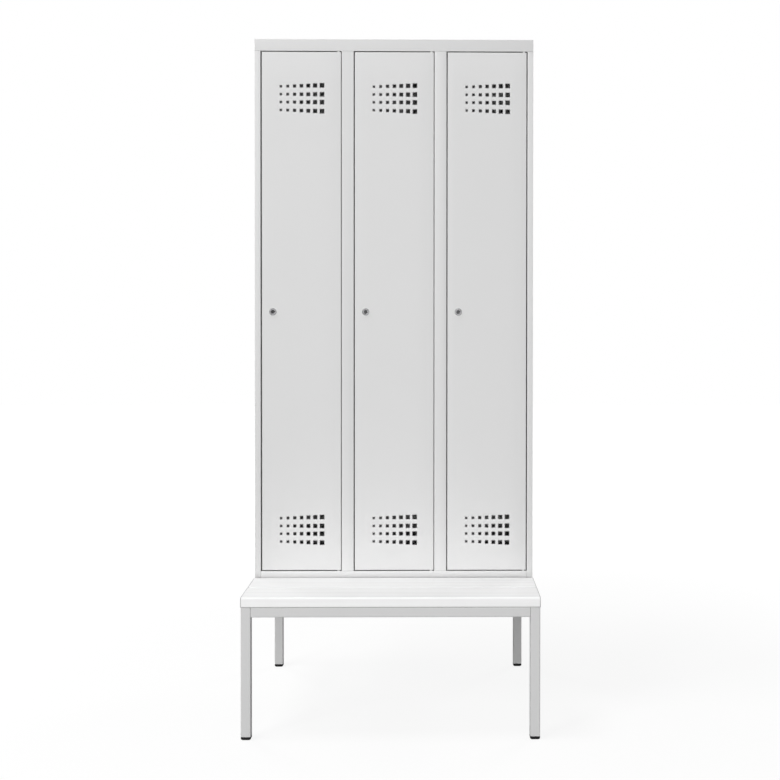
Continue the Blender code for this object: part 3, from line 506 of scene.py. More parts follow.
# Seat: two hollow slats of off-white plastic, extruded and cut to length. Grey push-in caps close their
# ends. Screws come up through the frame's side rails into the slats.
SLAT_WHITE = (0.88, 0.88, 0.88)
CAP_GREY = (0.45, 0.45, 0.45)
CAP_EDGE = 0.0006
ZINC_GREY = (0.56, 0.57, 0.58)
STAIN_SCALE = 240.0
STAIN_DETAIL = 4.0
LINE_DETAIL = 2.0
LINE_HEIGHT = 0.0001
SCREW_HEAD_RADIUS = 0.0045
SCREW_HEAD_HEIGHT = 0.0024
SCREW_SETBACKS = (0.042, 0.028)
DOME_FOOT = 0.96
DOME_START = 0.25
DOME_FULLNESS = 0.7
DOME_STEPS = 5
DOME_FLAT = 0.22
CROSS_REACH = 0.55
CROSS_HALF_WIDTH = 0.13
CROSS_TURN = math.radians(7.0)
CROSS_MOUTH = 1.3
CROSS_FLOOR = 0.42
CROSS_NARROWING = (0.45, 0.8)
HEAD_STEPS = 24


def circle(shape, middle, across, beside, radius, steps):
    """Ring of points about a middle."""
    ring = []
    for step in range(steps):
        angle = math.tau * step / steps
        out = across * math.cos(angle) + beside * math.sin(angle)
        ring.append(shape.verts.new(middle + out * radius))
    return ring


def turned(shape, centre, axis, profile, steps):
    """Turn a profile of (radius, height) about an axis; a radius of 0 closes the end."""
    ahead = Vector(axis).normalized()
    across = ahead.orthogonal().normalized()
    beside = ahead.cross(across)
    rings = []
    for radius, height in profile:
        middle = Vector(centre) + ahead * height
        if radius == 0:
            rings.append([shape.verts.new(middle)])
        else:
            rings.append(circle(shape, middle, across, beside, radius, steps))
    closed = profile[0][0] != 0 and profile[-1][0] != 0
    following_rings = rings[1:] + rings[:1] if closed else rings[1:]
    for ring, following in zip(rings, following_rings):
        for index in range(steps):
            after = (index + 1) % steps
            corners = [ring[index % len(ring)], ring[after % len(ring)]]
            corners += [following[after % len(following)], following[index % len(following)]]
            shape.faces.new(list(dict.fromkeys(corners)))


def settle(piece, crease=35.0):
    """Make what a piece's modifiers show its own mesh."""
    graph = bpy.context.evaluated_depsgraph_get()
    result = bpy.data.meshes.new_from_object(piece.evaluated_get(graph), depsgraph=graph)
    piece.modifiers.clear()
    piece.data = result
    result.shade_smooth()
    result.set_sharp_from_angle(angle=math.radians(crease))


def bore_out(piece, cutter_shape):
    """Cut a closed shape out of a piece for good."""
    cutter = stand_up("cutter", cutter_shape)
    modifier = piece.modifiers.new("cut", "BOOLEAN")
    modifier.operation = "DIFFERENCE"
    modifier.solver = "EXACT"
    modifier.object = cutter
    settle(piece)
    bpy.data.objects.remove(cutter)


def worked_mesh(thing, material):
    """Keep a finished object's mesh in its material, and drop the object."""
    mesh = thing.data
    bpy.data.objects.remove(thing)
    mesh.materials.clear()
    mesh.materials.append(material)
    return mesh


def bare_metal_skin():
    """Plated or bare metal: brushed or polished lines, tiny scratches and uneven gloss."""
    group, entry, place = open_group("metal_skin", {
        "Metal": "Color",
        "Line Scale": "Vector",
        "Line Depth": "Float",
        "Blotch": "Float",
    })
    lines = stretched_noise(group, place, entry["Line Scale"], LINE_DETAIL)
    stain = noise(group, place, STAIN_SCALE, STAIN_DETAIL)
    tone = varied(group, stain, entry["Blotch"])
    close_group(group, entry, "Metal", tone, lines, lines, "Line Depth", LINE_HEIGHT)
    return group


metal_skin = bare_metal_skin()


def metal(name, colour, lines, line_depth, blotch, gloss):
    """A plated or bare metal."""
    settings = {
        "Metal": (*colour, 1.0),
        "Line Scale": lines,
        "Line Depth": line_depth,
        "Blotch": blotch,
    }
    return skinned(name, metal_skin, gloss, settings, {"Metallic": 1.0})


def pan_head_mesh(name, radius, height, material):
    """Domed screw head with a cross recess; its underside lies at zero and its top points up."""
    profile = [(0.0, 0.0), (radius * DOME_FOOT, 0.0), (radius, height * DOME_START)]
    for step in range(1, DOME_STEPS):
        angle = step / DOME_STEPS * math.pi / 2
        rise = DOME_START + (1.0 - DOME_START) * math.sin(angle)
        profile.append((radius * math.cos(angle) ** DOME_FULLNESS, height * rise))
    profile.append((radius * DOME_FLAT, height))
    profile.append((0.0, height))
    shape = bmesh.new()
    turned(shape, (0, 0, 0), (0, 0, 1), profile, HEAD_STEPS)
    reach = radius * CROSS_REACH
    half = radius * CROSS_HALF_WIDTH
    quarter = [(reach, -half), (reach, half), (half, half)]
    cross = []
    for turn in range(4):
        cross += quarter
        quarter = [(-v, u) for u, v in quarter]
    cos_turn = math.cos(CROSS_TURN)
    sin_turn = math.sin(CROSS_TURN)
    cross = [(u * cos_turn - v * sin_turn, u * sin_turn + v * cos_turn) for u, v in cross]
    recess = bmesh.new()
    wide = [recess.verts.new((u, v, height * CROSS_MOUTH)) for u, v in cross]
    shrink_u, shrink_v = CROSS_NARROWING
    narrow = [recess.verts.new((u * shrink_u, v * shrink_v, height * CROSS_FLOOR)) for u, v in cross]
    closed_skin(recess, [wide, narrow])
    head = stand_up(name, shape)
    bore_out(head, recess)
    return worked_mesh(head, material)


def set_screw(name, head_mesh, spot, axis, body):
    """Set a screw head on a surface, pointing out along axis."""
    screw = in_scene(name, head_mesh)
    screw.location = spot
    screw.rotation_euler = Vector(axis).to_track_quat("Z", "Y").to_euler()
    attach(screw, body)


slat_plastic = plastic(
    "slat_plastic",
    SLAT_WHITE,
    grain=(5.0, 1400.0, 1400.0),
    grain_depth=0.30,
    gloss=(0.52, 0.66),
    shine=0.25,
    draw_lines=0.20,
)
finish_nodes("seat_slat", slat_plastic)
cap_plastic = plastic("cap_plastic", CAP_GREY, grain=(1100.0,) * 3, grain_depth=0.30, gloss=(0.45, 0.60))
for name in nodes:
    if name.startswith("slat_end_cap"):
        eased_piece(name, cap_plastic, CAP_EDGE, segments=3, least_turn=50.0)

zinc = metal("zinc_plate", ZINC_GREY, lines=(300.0,) * 3, line_depth=0.25, blotch=0.25, gloss=(0.26, 0.42))
slat_screw_head = pan_head_mesh("slat_screw_head", SCREW_HEAD_RADIUS, SCREW_HEAD_HEIGHT, zinc)
for row in ("front", "rear"):
    slat_low, slat_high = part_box("seat_slat_" + row)
    places = (slat_low.y + SCREW_SETBACKS[0], slat_high.y - SCREW_SETBACKS[1])
    for order, y in enumerate(places):
        for side, word in ((-1, "left"), (1, "right")):
            x = side * (inner_face + TUBE / 2)
            name = "slat_screw_" + row + "_" + str(order + 1) + "_" + word
            spot = (x, y, rail_low.z)
            set_screw(name, slat_screw_head, spot, (0, 0, -1), "cabinet")


# Four bolts hold the cabinet on the frame: two go up through the cross rail into the sill, two through the
# rear rail into the base pan. Hexagon heads with washers, zinc plated.
BOLT_SPREAD = 0.33
BOLT_ACROSS = 0.013
BOLT_HEAD_HEIGHT = 0.0050
HEXAGON_STEPS = 48
HEXAGON_FOOT_TRIM = 0.0008
HEXAGON_FOOT_RISE = 0.0006
HEXAGON_TOP_DROP = 0.0012
HEXAGON_TOP_TRIM = 0.0014
WASHER_RADIUS = 0.0080
WASHER_HEIGHT = 0.0015
WASHER_EDGE = 0.0003
ROUND_STEPS = 32


def hexagon_ring(shape, centre, across_flats, axis, height, trim):
    """Ring of a hexagon head's outline at a height, with its corners trimmed by the chamfer."""
    axis = Vector(axis)
    across = axis.orthogonal().normalized()
    beside = axis.cross(across)
    corner = across_flats / 2 / math.cos(math.pi / 6)
    ring = []
    for step in range(HEXAGON_STEPS):
        angle = math.tau * step / HEXAGON_STEPS
        inside = (angle % (math.pi / 3)) - math.pi / 6
        flat = across_flats / 2 / math.cos(inside)
        radius = min(flat, corner - trim)
        out = across * math.cos(angle) + beside * math.sin(angle)
        ring.append(shape.verts.new(Vector(centre) + axis * height + out * radius))
    return ring


def hexagon_head(shape, centre, across_flats, axis, height):
    """Chamfered hexagon head."""
    trims = (
        (HEXAGON_FOOT_TRIM, 0.0),
        (0.0, HEXAGON_FOOT_RISE),
        (0.0, height - HEXAGON_TOP_DROP),
        (HEXAGON_TOP_TRIM, height),
    )
    rings = [hexagon_ring(shape, centre, across_flats, axis, level, trim) for trim, level in trims]
    closed_skin(shape, rings)


def middle_of(node_name):
    """Middle of a CAD node's box."""
    return [(low + high) / 2 for low, high in zip(*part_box(node_name))]


bolts = bmesh.new()
washer = [
    (0.0, 0.0),
    (WASHER_RADIUS - WASHER_EDGE, 0.0),
    (WASHER_RADIUS, WASHER_EDGE),
    (WASHER_RADIUS, WASHER_HEIGHT - WASHER_EDGE),
    (WASHER_RADIUS - WASHER_EDGE, WASHER_HEIGHT),
    (0.0, WASHER_HEIGHT),
]
for side in (-1, 1):
    for over in ("sill_rail", "bench_rear_rail"):
        y = middle_of(over)[1]
        under = Vector((side * BOLT_SPREAD, y, rail_low.z))
        turned(bolts, under, (0, 0, -1), washer, ROUND_STEPS)
        head_spot = under - Vector((0, 0, WASHER_HEIGHT))
        hexagon_head(bolts, head_spot, BOLT_ACROSS, (0, 0, -1), BOLT_HEAD_HEIGHT)
make_piece("cabinet_bolts", bolts, zinc, "cabinet")


# Cabinet: steel sheet, cut, notched and folded, spot welded together and powder coated light grey. Every
# fold keeps the small outer radius of the press brake.
CABINET_GREY = (0.685, 0.685, 0.685)
FOLD_RADIUS = 0.0013
FOLD_SEGMENTS = 4
FOLD_LEAST_TURN = 60.0
INNER_RADIUS = 0.0004
INNER_SEGMENTS = 2
WIDE_FACE = 0.0035
SEAT_REACH = 0.0002
ROOF_FOLD = 0.0008


def folded_piece(node_name, material, seat_top=None):
    """A folded sheet with a real radius outside its folds and a smaller one inside.

    Where seat_top is given, the sheet's square top reaches up to the piece that lies on it.
    """
    shape = clean_copy(node_name)
    top = max(corner.co.z for corner in shape.verts)

    def is_fold(edge):
        if seat_top is not None and all(top - corner.co.z < SEAT_REACH for corner in edge.verts):
            return False
        if len(edge.link_faces) != 2 or edge.calc_length() < FOLD_RADIUS:
            return False
        if edge.calc_face_angle() < math.radians(FOLD_LEAST_TURN):
            return False
        return all(face.calc_area() / edge.calc_length() > WIDE_FACE for face in edge.link_faces)

    outer = [edge for edge in shape.edges if is_fold(edge) and edge.is_convex]
    round_edges(shape, outer, FOLD_RADIUS, FOLD_SEGMENTS)
    inner = [edge for edge in shape.edges if is_fold(edge) and not edge.is_convex]
    if seat_top is not None:
        for corner in shape.verts:
            if top - corner.co.z < SEAT_REACH:
                corner.co.z = seat_top
    if inner:
        round_edges(shape, inner, INNER_RADIUS, INNER_SEGMENTS)
    show_instead(node_name, shape, material)


cabinet_paint = painted_steel("cabinet_powder_coat", CABINET_GREY, tone_spread=0.03)
finish_nodes(("back_panel", "partition_"), cabinet_paint)
roof_low, roof_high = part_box("roof_panel")
for name in ("side_panel_left", "side_panel_right", "header_rail"):
    folded_piece(name, cabinet_paint, seat_top=roof_low.z)
roof = clean_copy("roof_panel")
rim_level = roof_high.z - SEAT_REACH
roof_rim = [edge for edge in roof.edges if all(corner.co.z > rim_level for corner in edge.verts)]
round_edges(roof, roof_rim, ROOF_FOLD, FOLD_SEGMENTS, clamp=False)
show_instead("roof_panel", roof, cabinet_paint)
for name in ("sill_rail", "base_pan", "mullion_1", "mullion_2"):
    folded_piece(name, cabinet_paint)
for number in "123":
    folded_piece("hat_shelf_" + number, cabinet_paint)


# Clothes rails: zinc-plated tube under each shelf, its two flanges screwed to the compartment's walls.
# All of it is guessed, as is everything else behind the doors.
RAIL_RADIUS = 0.009
RAIL_BORE = 0.0078
RAIL_END_GAP = 0.0005
RAIL_STEPS = 40
FLANGE_RADIUS = 0.018
FLANGE_THICKNESS = 0.002
FLANGE_BACK_EDGE = 0.0003
FLANGE_BACK_RISE = 0.0004
FLANGE_ROUNDING = 0.0006
FLANGE_COLLAR = 0.0112
FLANGE_COLLAR_LENGTH = 0.006
COLLAR_FILLET = 0.0008
COLLAR_EDGE = 0.0005
RAIL_SCREW_RADIUS = 0.0030
RAIL_SCREW_SPREAD = 0.0138
RAIL_SCREW_HEIGHT = 0.0018

rail_screw_head = pan_head_mesh("rail_screw_head", RAIL_SCREW_RADIUS, RAIL_SCREW_HEIGHT, zinc)
flange = [
    (RAIL_RADIUS, 0.0),
    (FLANGE_RADIUS - FLANGE_BACK_EDGE, 0.0),
    (FLANGE_RADIUS, FLANGE_BACK_RISE),
    (FLANGE_RADIUS, FLANGE_THICKNESS - FLANGE_ROUNDING),
    (FLANGE_RADIUS - FLANGE_ROUNDING, FLANGE_THICKNESS),
    (FLANGE_COLLAR + COLLAR_FILLET, FLANGE_THICKNESS),
    (FLANGE_COLLAR, FLANGE_THICKNESS + COLLAR_FILLET),
    (FLANGE_COLLAR, FLANGE_COLLAR_LENGTH - COLLAR_EDGE),
    (FLANGE_COLLAR - COLLAR_EDGE, FLANGE_COLLAR_LENGTH),
    (RAIL_RADIUS, FLANGE_COLLAR_LENGTH),
]
for number in "123":
    low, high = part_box("clothes_rail_" + number)
    y, z = middle_of("clothes_rail_" + number)[1:]
    length = high.x - low.x
    tube = [
        (RAIL_BORE, RAIL_END_GAP),
        (RAIL_RADIUS, RAIL_END_GAP),
        (RAIL_RADIUS, length - RAIL_END_GAP),
        (RAIL_BORE, length - RAIL_END_GAP),
    ]
    rail = bmesh.new()
    turned(rail, (low.x, y, z), (1, 0, 0), tube, RAIL_STEPS)
    turned(rail, (low.x, y, z), (1, 0, 0), flange, RAIL_STEPS)
    turned(rail, (high.x, y, z), (-1, 0, 0), flange, RAIL_STEPS)
    show_instead("clothes_rail_" + number, rail, zinc)
    for end, x, inwards in (("left", low.x, 1), ("right", high.x, -1)):
        for order, rise in enumerate((-RAIL_SCREW_SPREAD, RAIL_SCREW_SPREAD)):
            spot = (x + inwards * FLANGE_THICKNESS, y, z + rise)
            name = "rail_screw_" + number + "_" + end + "_" + str(order + 1)
            set_screw(name, rail_screw_head, spot, (inwards, 0, 0), "cabinet")


# Coat hooks: black plastic, moulded in one with the ring that slides on the rail. The stem runs out into
# two upturned prongs with round tips, and every joint has the fillet that a mould gives it.
HOOK_BLACK = (0.018, 0.018, 0.019)
HOOK_RING_OUTER = 0.0127
HOOK_RING_BORE = 0.0096
HOOK_RING_LENGTH = 0.014
HOOK_RING_STEPS = 48
HOOK_BAR = 0.0035
HOOK_BAR_STEPS = 20
HOOK_STEM = 0.038
HOOK_BEND = 0.022
HOOK_BEND_STEPS = 24
HOOK_TIP_RISE = 0.006
HOOK_TIP = 0.0048
HOOK_TIP_RINGS = 12
HOOK_VOXEL = 0.00075
HOOK_SOFTENING = 0.5
HOOK_SOFTENINGS = 8
HOOK_FACES_KEPT = 0.35
HOOK_CREASE = 50.0


def swept_bar(shape, points, radius, steps):
    """Round bar along points, with closed ends."""
    rings = []
    for index, point in enumerate(points):
        before = points[max(index - 1, 0)]
        after = points[min(index + 1, len(points) - 1)]
        ahead = (after - before).normalized()
        across = ahead.cross(Vector((1, 0, 0))).normalized()
        beside = ahead.cross(across)
        rings.append(circle(shape, point, across, beside, radius, steps))
    closed_skin(shape, rings)


def moulded_hook(material):
    """Ring, stem and prongs melted into one moulding, with the rail's middle at zero."""
    shape = bmesh.new()
    ring = [
        (HOOK_RING_BORE, 0.0),
        (HOOK_RING_OUTER, 0.0),
        (HOOK_RING_OUTER, HOOK_RING_LENGTH),
        (HOOK_RING_BORE, HOOK_RING_LENGTH),
    ]
    turned(shape, (-HOOK_RING_LENGTH / 2, 0, 0), (1, 0, 0), ring, HOOK_RING_STEPS)
    bottom = -RAIL_RADIUS - HOOK_STEM
    stem_top = -(HOOK_RING_BORE + HOOK_RING_OUTER) / 2
    swept_bar(shape, [Vector((0, 0, stem_top)), Vector((0, 0, bottom))], HOOK_BAR, HOOK_BAR_STEPS)
    bend_middle = bottom + HOOK_BEND
    tip = bend_middle + HOOK_TIP_RISE
    bend = [Vector((0, -HOOK_BEND, tip))]
    for step in range(HOOK_BEND_STEPS + 1):
        angle = math.pi * (1 + step / HOOK_BEND_STEPS)
        out = Vector((0, math.cos(angle), math.sin(angle))) * HOOK_BEND
        bend.append(Vector((0, 0, bend_middle)) + out)
    bend.append(Vector((0, HOOK_BEND, tip)))
    swept_bar(shape, bend, HOOK_BAR, HOOK_BAR_STEPS)
    for side in (-1, 1):
        ball = bmesh.ops.create_uvsphere(
            shape, u_segments=HOOK_BAR_STEPS, v_segments=HOOK_TIP_RINGS, radius=HOOK_TIP
        )
        bmesh.ops.translate(shape, vec=(0, side * HOOK_BEND, tip), verts=ball["verts"])
    moulding = stand_up("coat_hook_moulding", shape)
    melt = moulding.modifiers.new("mould", "REMESH")
    melt.mode = "VOXEL"
    melt.voxel_size = HOOK_VOXEL
    soften = moulding.modifiers.new("fillets", "SMOOTH")
    soften.factor = HOOK_SOFTENING
    soften.iterations = HOOK_SOFTENINGS
    thin = moulding.modifiers.new("thin", "DECIMATE")
    thin.ratio = HOOK_FACES_KEPT
    settle(moulding, HOOK_CREASE)
    return worked_mesh(moulding, material)


hook_plastic = plastic("hook_plastic", HOOK_BLACK, grain=(1000.0,) * 3, grain_depth=0.30, gloss=(0.34, 0.50))
hook_mesh = moulded_hook(hook_plastic)
for number in "123":
    hook = in_scene("shown_coat_hook_" + number, hook_mesh)
    hook.location = (middle_of("coat_hook_" + number)[0], *middle_of("clothes_rail_" + number)[1:])
    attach(hook, "hook_" + number)
    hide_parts("coat_hook_" + number)


# Doors: one steel sheet each, punched with two groups of square vent holes that grow from left to right,
# folded into a pan with return lips, and powder coated. A hat-section stiffener is spot welded inside. The
# holes' rolled edges are a guess, and their dark colour on the rolled edges and hole walls is painted
# shade. Both bring them near the sharpened photograph's.
DOOR_SHEET = 0.001
DOOR_BEND = 0.0016
DOOR_BEND_STEPS = 5
DOOR_LIP = 0.010
VENT_COLUMNS = 7
VENT_ROWS = 4
VENT_PITCH = 0.0221
VENT_ROW_PITCH = 0.0253
VENT_SMALLEST = 0.0068
VENT_GROWTH = 0.00123
VENT_TOP_DROP = 0.1495
VENT_BOTTOM_RISE = 0.131
ROLL_REACH = 0.00045
ROLL_DEPTH = 0.00030
# Painted shade: the dark colour of the vent holes' rolled edges and walls.
HOLE_PAINTED_SHADE = (0.045, 0.045, 0.045)
LOCK_HOLE = 0.0093
LOCK_HOLE_STEPS = 32
STIFFENER_FLANGE = 0.060
STIFFENER_CROWN = 0.030
STIFFENER_DEPTH = 0.012
STIFFENER_MARGIN = 0.030
STIFFENER_BEND = 0.0014
STIFFENER_BEND_STEPS = 4
SPOT_RADIUS = 0.0028
SPOT_DEPTH = 0.00025
SPOT_ROOT = 0.0002
SPOT_SHOULDER = 0.8
SPOT_DIP = 0.4
SPOT_PITCH = 0.110
SPOT_STEPS = 16


def door_layout(low, high, lock_x, lock_z):
    """Grid lines of the door's face, and the rectangle of each vent hole by its cell."""
    flat_left = low.x + DOOR_BEND
    flat_right = high.x - DOOR_BEND
    flat_bottom = low.z + DOOR_BEND
    flat_top = high.z - DOOR_BEND
    middle = (low.x + high.x) / 2
    vent_lines = [middle + (k - VENT_COLUMNS / 2) * VENT_PITCH for k in range(VENT_COLUMNS + 1)]
    lock_half = vent_lines[0] - lock_x
    xs = [flat_left, lock_x - lock_half] + vent_lines + [flat_right]
    groups = (low.z + VENT_BOTTOM_RISE, high.z - VENT_TOP_DROP)
    row_lines = [[z + (k - VENT_ROWS / 2) * VENT_ROW_PITCH for k in range(VENT_ROWS + 1)] for z in groups]
    zs = [flat_bottom] + row_lines[0] + [lock_z - lock_half, lock_z + lock_half] + row_lines[1] + [flat_top]
    holes = {}
    for group, z_middle in enumerate(groups):
        first_row = 1 if group == 0 else 3 + VENT_ROWS + 1
        for column in range(VENT_COLUMNS):
            size = VENT_SMALLEST + column * VENT_GROWTH
            x = middle + (column - (VENT_COLUMNS - 1) / 2) * VENT_PITCH
            for row in range(VENT_ROWS):
                offset = row - (VENT_ROWS - 1) / 2
                z = z_middle + offset * VENT_ROW_PITCH
                if row in (0, VENT_ROWS - 1):
                    z += math.copysign((size - VENT_SMALLEST) / 2, offset)
                rectangle = (x - size / 2, z - size / 2, x + size / 2, z + size / 2)
                holes[(2 + column, first_row + row)] = rectangle
    lock_cell = (1, VENT_ROWS + 2)
    return xs, zs, holes, lock_cell


def punch_vent(shape, cell, hole, y, skin):
    """Surround a square hole in one cell of a skin; the front skin rolls in at the hole's edge."""
    x0, z0, x1, z1 = hole
    corners = ((x0, z0, -1, -1), (x1, z0, 1, -1), (x1, z1, 1, 1), (x0, z1, -1, 1))
    around = cell
    if skin == 0:
        around = []
        for x, z, right, up in corners:
            around.append(shape.verts.new((x + right * ROLL_REACH, y, z + up * ROLL_REACH)))
        band(shape, cell, around)
    rim_y = y + ROLL_DEPTH * (1 - skin)
    rim = [shape.verts.new((x, rim_y, z)) for x, z, right, up in corners]
    # The front skin's rolled-in ring around a vent hole gets the dark painted hole shade.
    for face in band(shape, around, rim):
        face.material_index = 1 - skin
    return rim


def punch_lock_hole(shape, cell, lock_x, lock_z, y):
    """Surround the lock's round hole in one cell of a skin."""
    rim = []
    for k in range(LOCK_HOLE_STEPS):
        angle = math.pi * 5 / 4 + math.tau * k / LOCK_HOLE_STEPS
        out = (math.cos(angle) * LOCK_HOLE, math.sin(angle) * LOCK_HOLE)
        rim.append(shape.verts.new((lock_x + out[0], y, lock_z + out[1])))
    quarter = LOCK_HOLE_STEPS // 4
    for k in range(4):
        arc = [rim[(k * quarter + q) % LOCK_HOLE_STEPS] for q in range(quarter + 1)]
        shape.faces.new([cell[(k + 1) % 4]] + arc[::-1] + [cell[k]])
    return rim


def fold_rings(low_y, high_y, inset):
    """Reach outwards and depth of each ring of the door's folded edge, for the outer or inner skin."""
    bend = DOOR_BEND - inset
    rings = []
    for step in range(1, DOOR_BEND_STEPS + 1):
        angle = step / DOOR_BEND_STEPS * math.pi / 2
        rings.append((bend * math.sin(angle), low_y + DOOR_BEND - bend * math.cos(angle)))
    for step in range(DOOR_BEND_STEPS + 1):
        angle = step / DOOR_BEND_STEPS * math.pi / 2
        rings.append((bend * math.cos(angle), high_y - DOOR_BEND + bend * math.sin(angle)))
    rings.append((DOOR_BEND - DOOR_LIP, high_y - inset))
    return rings


def door_pan(low, high, lock_x, lock_z):
    """The punched and folded door sheet, with its real thickness."""
    xs, zs, holes, lock_cell = door_layout(low, high, lock_x, lock_z)
    last_x = len(xs) - 1
    last_z = len(zs) - 1
    shape = bmesh.new()
    perimeter = [(i, 0) for i in range(last_x + 1)]
    perimeter += [(last_x, j) for j in range(1, last_z + 1)]
    perimeter += [(i, last_z) for i in range(last_x - 1, -1, -1)]
    perimeter += [(0, j) for j in range(last_z - 1, 0, -1)]
    rims = []
    for skin in (0, 1):
        inset = skin * DOOR_SHEET
        y = low.y + inset
        grid = {}
        for i, x in enumerate(xs):
            for j, z in enumerate(zs):
                grid[(i, j)] = shape.verts.new((x, y, z))
        skin_rims = []
        for i in range(last_x):
            for j in range(last_z):
                cell = [grid[(i, j)], grid[(i + 1, j)], grid[(i + 1, j + 1)], grid[(i, j + 1)]]
                if (i, j) in holes:
                    skin_rims.append(punch_vent(shape, cell, holes[(i, j)], y, skin))
                elif (i, j) == lock_cell:
                    skin_rims.append(punch_lock_hole(shape, cell, lock_x, lock_z, y))
                else:
                    shape.faces.new(cell)
        previous = [grid[spot] for spot in perimeter]
        for out, ring_y in fold_rings(low.y, high.y, inset):
            ring = []
            for i, j in perimeter:
                x = xs[i] + (out if i == last_x else -out if i == 0 else 0.0)
                z = zs[j] + (out if j == last_z else -out if j == 0 else 0.0)
                ring.append(shape.verts.new((x, ring_y, z)))
            band(shape, previous, ring)
            previous = ring
        rims.append(skin_rims + [previous])
    # Vent hole walls get the dark painted hole shade. The lock hole's wall keeps the cabinet paint.
    for outer_rim, inner_rim in zip(*rims):
        for wall in band(shape, outer_rim, inner_rim):
            wall.material_index = 1 if len(outer_rim) == 4 else 0
    return shape


def bent_strip(points, thickness, bend, steps):
    """Closed outline of a folded strip: its middle line rounded at each fold, and given its thickness."""
    line = [Vector(point) for point in points]
    middle = [line[0]]
    for before, here, after in zip(line, line[1:], line[2:]):
        back = (before - here).normalized()
        ahead = (after - here).normalized()
        turn = math.pi - math.acos(back.dot(ahead))
        trim = bend * math.tan(turn / 2)
        centre = here + (back + ahead).normalized() * (bend / math.cos(turn / 2))
        arm = here + back * trim - centre
        way = math.copysign(turn, -back.x * ahead.y + back.y * ahead.x)
        for step in range(steps + 1):
            cos_step = math.cos(way * step / steps)
            sin_step = math.sin(way * step / steps)
            swung = (arm.x * cos_step - arm.y * sin_step, arm.x * sin_step + arm.y * cos_step)
            middle.append(centre + Vector(swung))
    middle.append(line[-1])
    left = []
    right = []
    for index, point in enumerate(middle):
        before = middle[max(index - 1, 0)]
        after = middle[min(index + 1, len(middle) - 1)]
        ahead = (after - before).normalized()
        side = Vector((-ahead.y, ahead.x)) * thickness / 2
        left.append(point + side)
        right.append(point - side)
    return left + right[::-1]


def prism(shape, outline, axis, start, end):
    """Closed outline drawn out along Y or Z."""
    rings = []
    for along in (start, end):
        if axis == "Y":
            rings.append([shape.verts.new((u, along, v)) for u, v in outline])
        else:
            rings.append([shape.verts.new((u, v, along)) for u, v in outline])
    closed_skin(shape, rings)


# Painted shade: a dark paint for the vent holes' rolled edges and walls.
painted_hole_shade = painted_steel("painted_hole_shade", HOLE_PAINTED_SHADE, tone_spread=0.10)
half_flange = STIFFENER_FLANGE / 2
half_crown = (STIFFENER_CROWN - DOOR_SHEET) / 2
vent_half = (VENT_ROWS - 1) / 2 * VENT_ROW_PITCH
spot_weld = [
    (0.0, -SPOT_ROOT),
    (SPOT_RADIUS, 0.0),
    (SPOT_RADIUS * SPOT_SHOULDER, SPOT_DEPTH),
    (0.0, SPOT_DEPTH * SPOT_DIP),
]
for number in "123":
    low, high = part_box("door_" + number)
    lock_x, lock_z = middle_of("lock_plug_" + number)[::2]
    pan = door_pan(low, high, lock_x, lock_z)
    door = show_instead("door_" + number, pan, cabinet_paint)
    door.data.materials.append(painted_hole_shade)

    middle = (low.x + high.x) / 2
    skin = low.y + DOOR_SHEET * 1.5
    crown = skin + STIFFENER_DEPTH
    hat = [
        (middle - half_flange, skin),
        (middle - half_crown, skin),
        (middle - half_crown, crown),
        (middle + half_crown, crown),
        (middle + half_crown, skin),
        (middle + half_flange, skin),
    ]
    bottom = low.z + VENT_BOTTOM_RISE + vent_half + STIFFENER_MARGIN
    top = high.z - VENT_TOP_DROP - vent_half - STIFFENER_MARGIN
    stiffener = bmesh.new()
    strip = bent_strip(hat, DOOR_SHEET, STIFFENER_BEND, STIFFENER_BEND_STEPS)
    prism(stiffener, strip, "Z", bottom, top)
    spots = round((top - bottom) / SPOT_PITCH)
    for side in (-1, 1):
        x = middle + side * (half_flange + half_crown) / 2
        for order in range(spots):
            z = bottom + (order + 0.5) * (top - bottom) / spots
            turned(stiffener, (x, skin + DOOR_SHEET / 2, z), (0, 1, 0), spot_weld, SPOT_STEPS)
    make_piece("door_stiffener_" + number, stiffener, cabinet_paint, "door_" + number)


# Hinges: a steel pin stands out of the top and bottom of each door, near its right edge, and turns in a
# pale nylon bush in the frame. Only the bush's collar shows, in the gap.
PIN_RADIUS = 0.0029
PIN_CHAMFER = 0.0006
BUSH_WHITE = (0.82, 0.82, 0.80)
BUSH_RADIUS = 0.0040
BUSH_CLEAR = 0.0003
BUSH_EDGE = 0.0003

nylon = plastic("bush_nylon", BUSH_WHITE, grain=(1200.0,) * 3, grain_depth=0.2, gloss=(0.40, 0.52))
for number in "123":
    door_low, door_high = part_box("door_" + number)
    for word, door_edge, frame_edge in (
        ("bottom", door_low.z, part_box("sill_rail")[1].z),
        ("top", door_high.z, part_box("header_rail")[0].z),
    ):
        node_name = "hinge_pin_" + word + "_" + number
        low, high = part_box(node_name)
        x, y = middle_of(node_name)[:2]
        length = high.z - low.z
        pin = [
            (0.0, 0.0),
            (PIN_RADIUS - PIN_CHAMFER, 0.0),
            (PIN_RADIUS, PIN_CHAMFER),
            (PIN_RADIUS, length - PIN_CHAMFER),
            (PIN_RADIUS - PIN_CHAMFER, length),
            (0.0, length),
        ]
        shape = bmesh.new()
        turned(shape, (x, y, low.z), (0, 0, 1), pin, ROUND_STEPS)
        show_instead(node_name, shape, zinc)
        bush_low, bush_high = sorted((door_edge, frame_edge))
        bush_low += BUSH_CLEAR
        bush_high -= BUSH_CLEAR
        collar = [
            (PIN_RADIUS, 0.0),
            (BUSH_RADIUS - BUSH_EDGE, 0.0),
            (BUSH_RADIUS, BUSH_EDGE),
            (BUSH_RADIUS, bush_high - bush_low - BUSH_EDGE),
            (BUSH_RADIUS - BUSH_EDGE, bush_high - bush_low),
            (PIN_RADIUS, bush_high - bush_low),
        ]
        shape = bmesh.new()
        turned(shape, (x, y, bush_low), (0, 0, 1), collar, ROUND_STEPS)
        make_piece("hinge_bush_" + word + "_" + number, shape, nylon, "door_" + number)


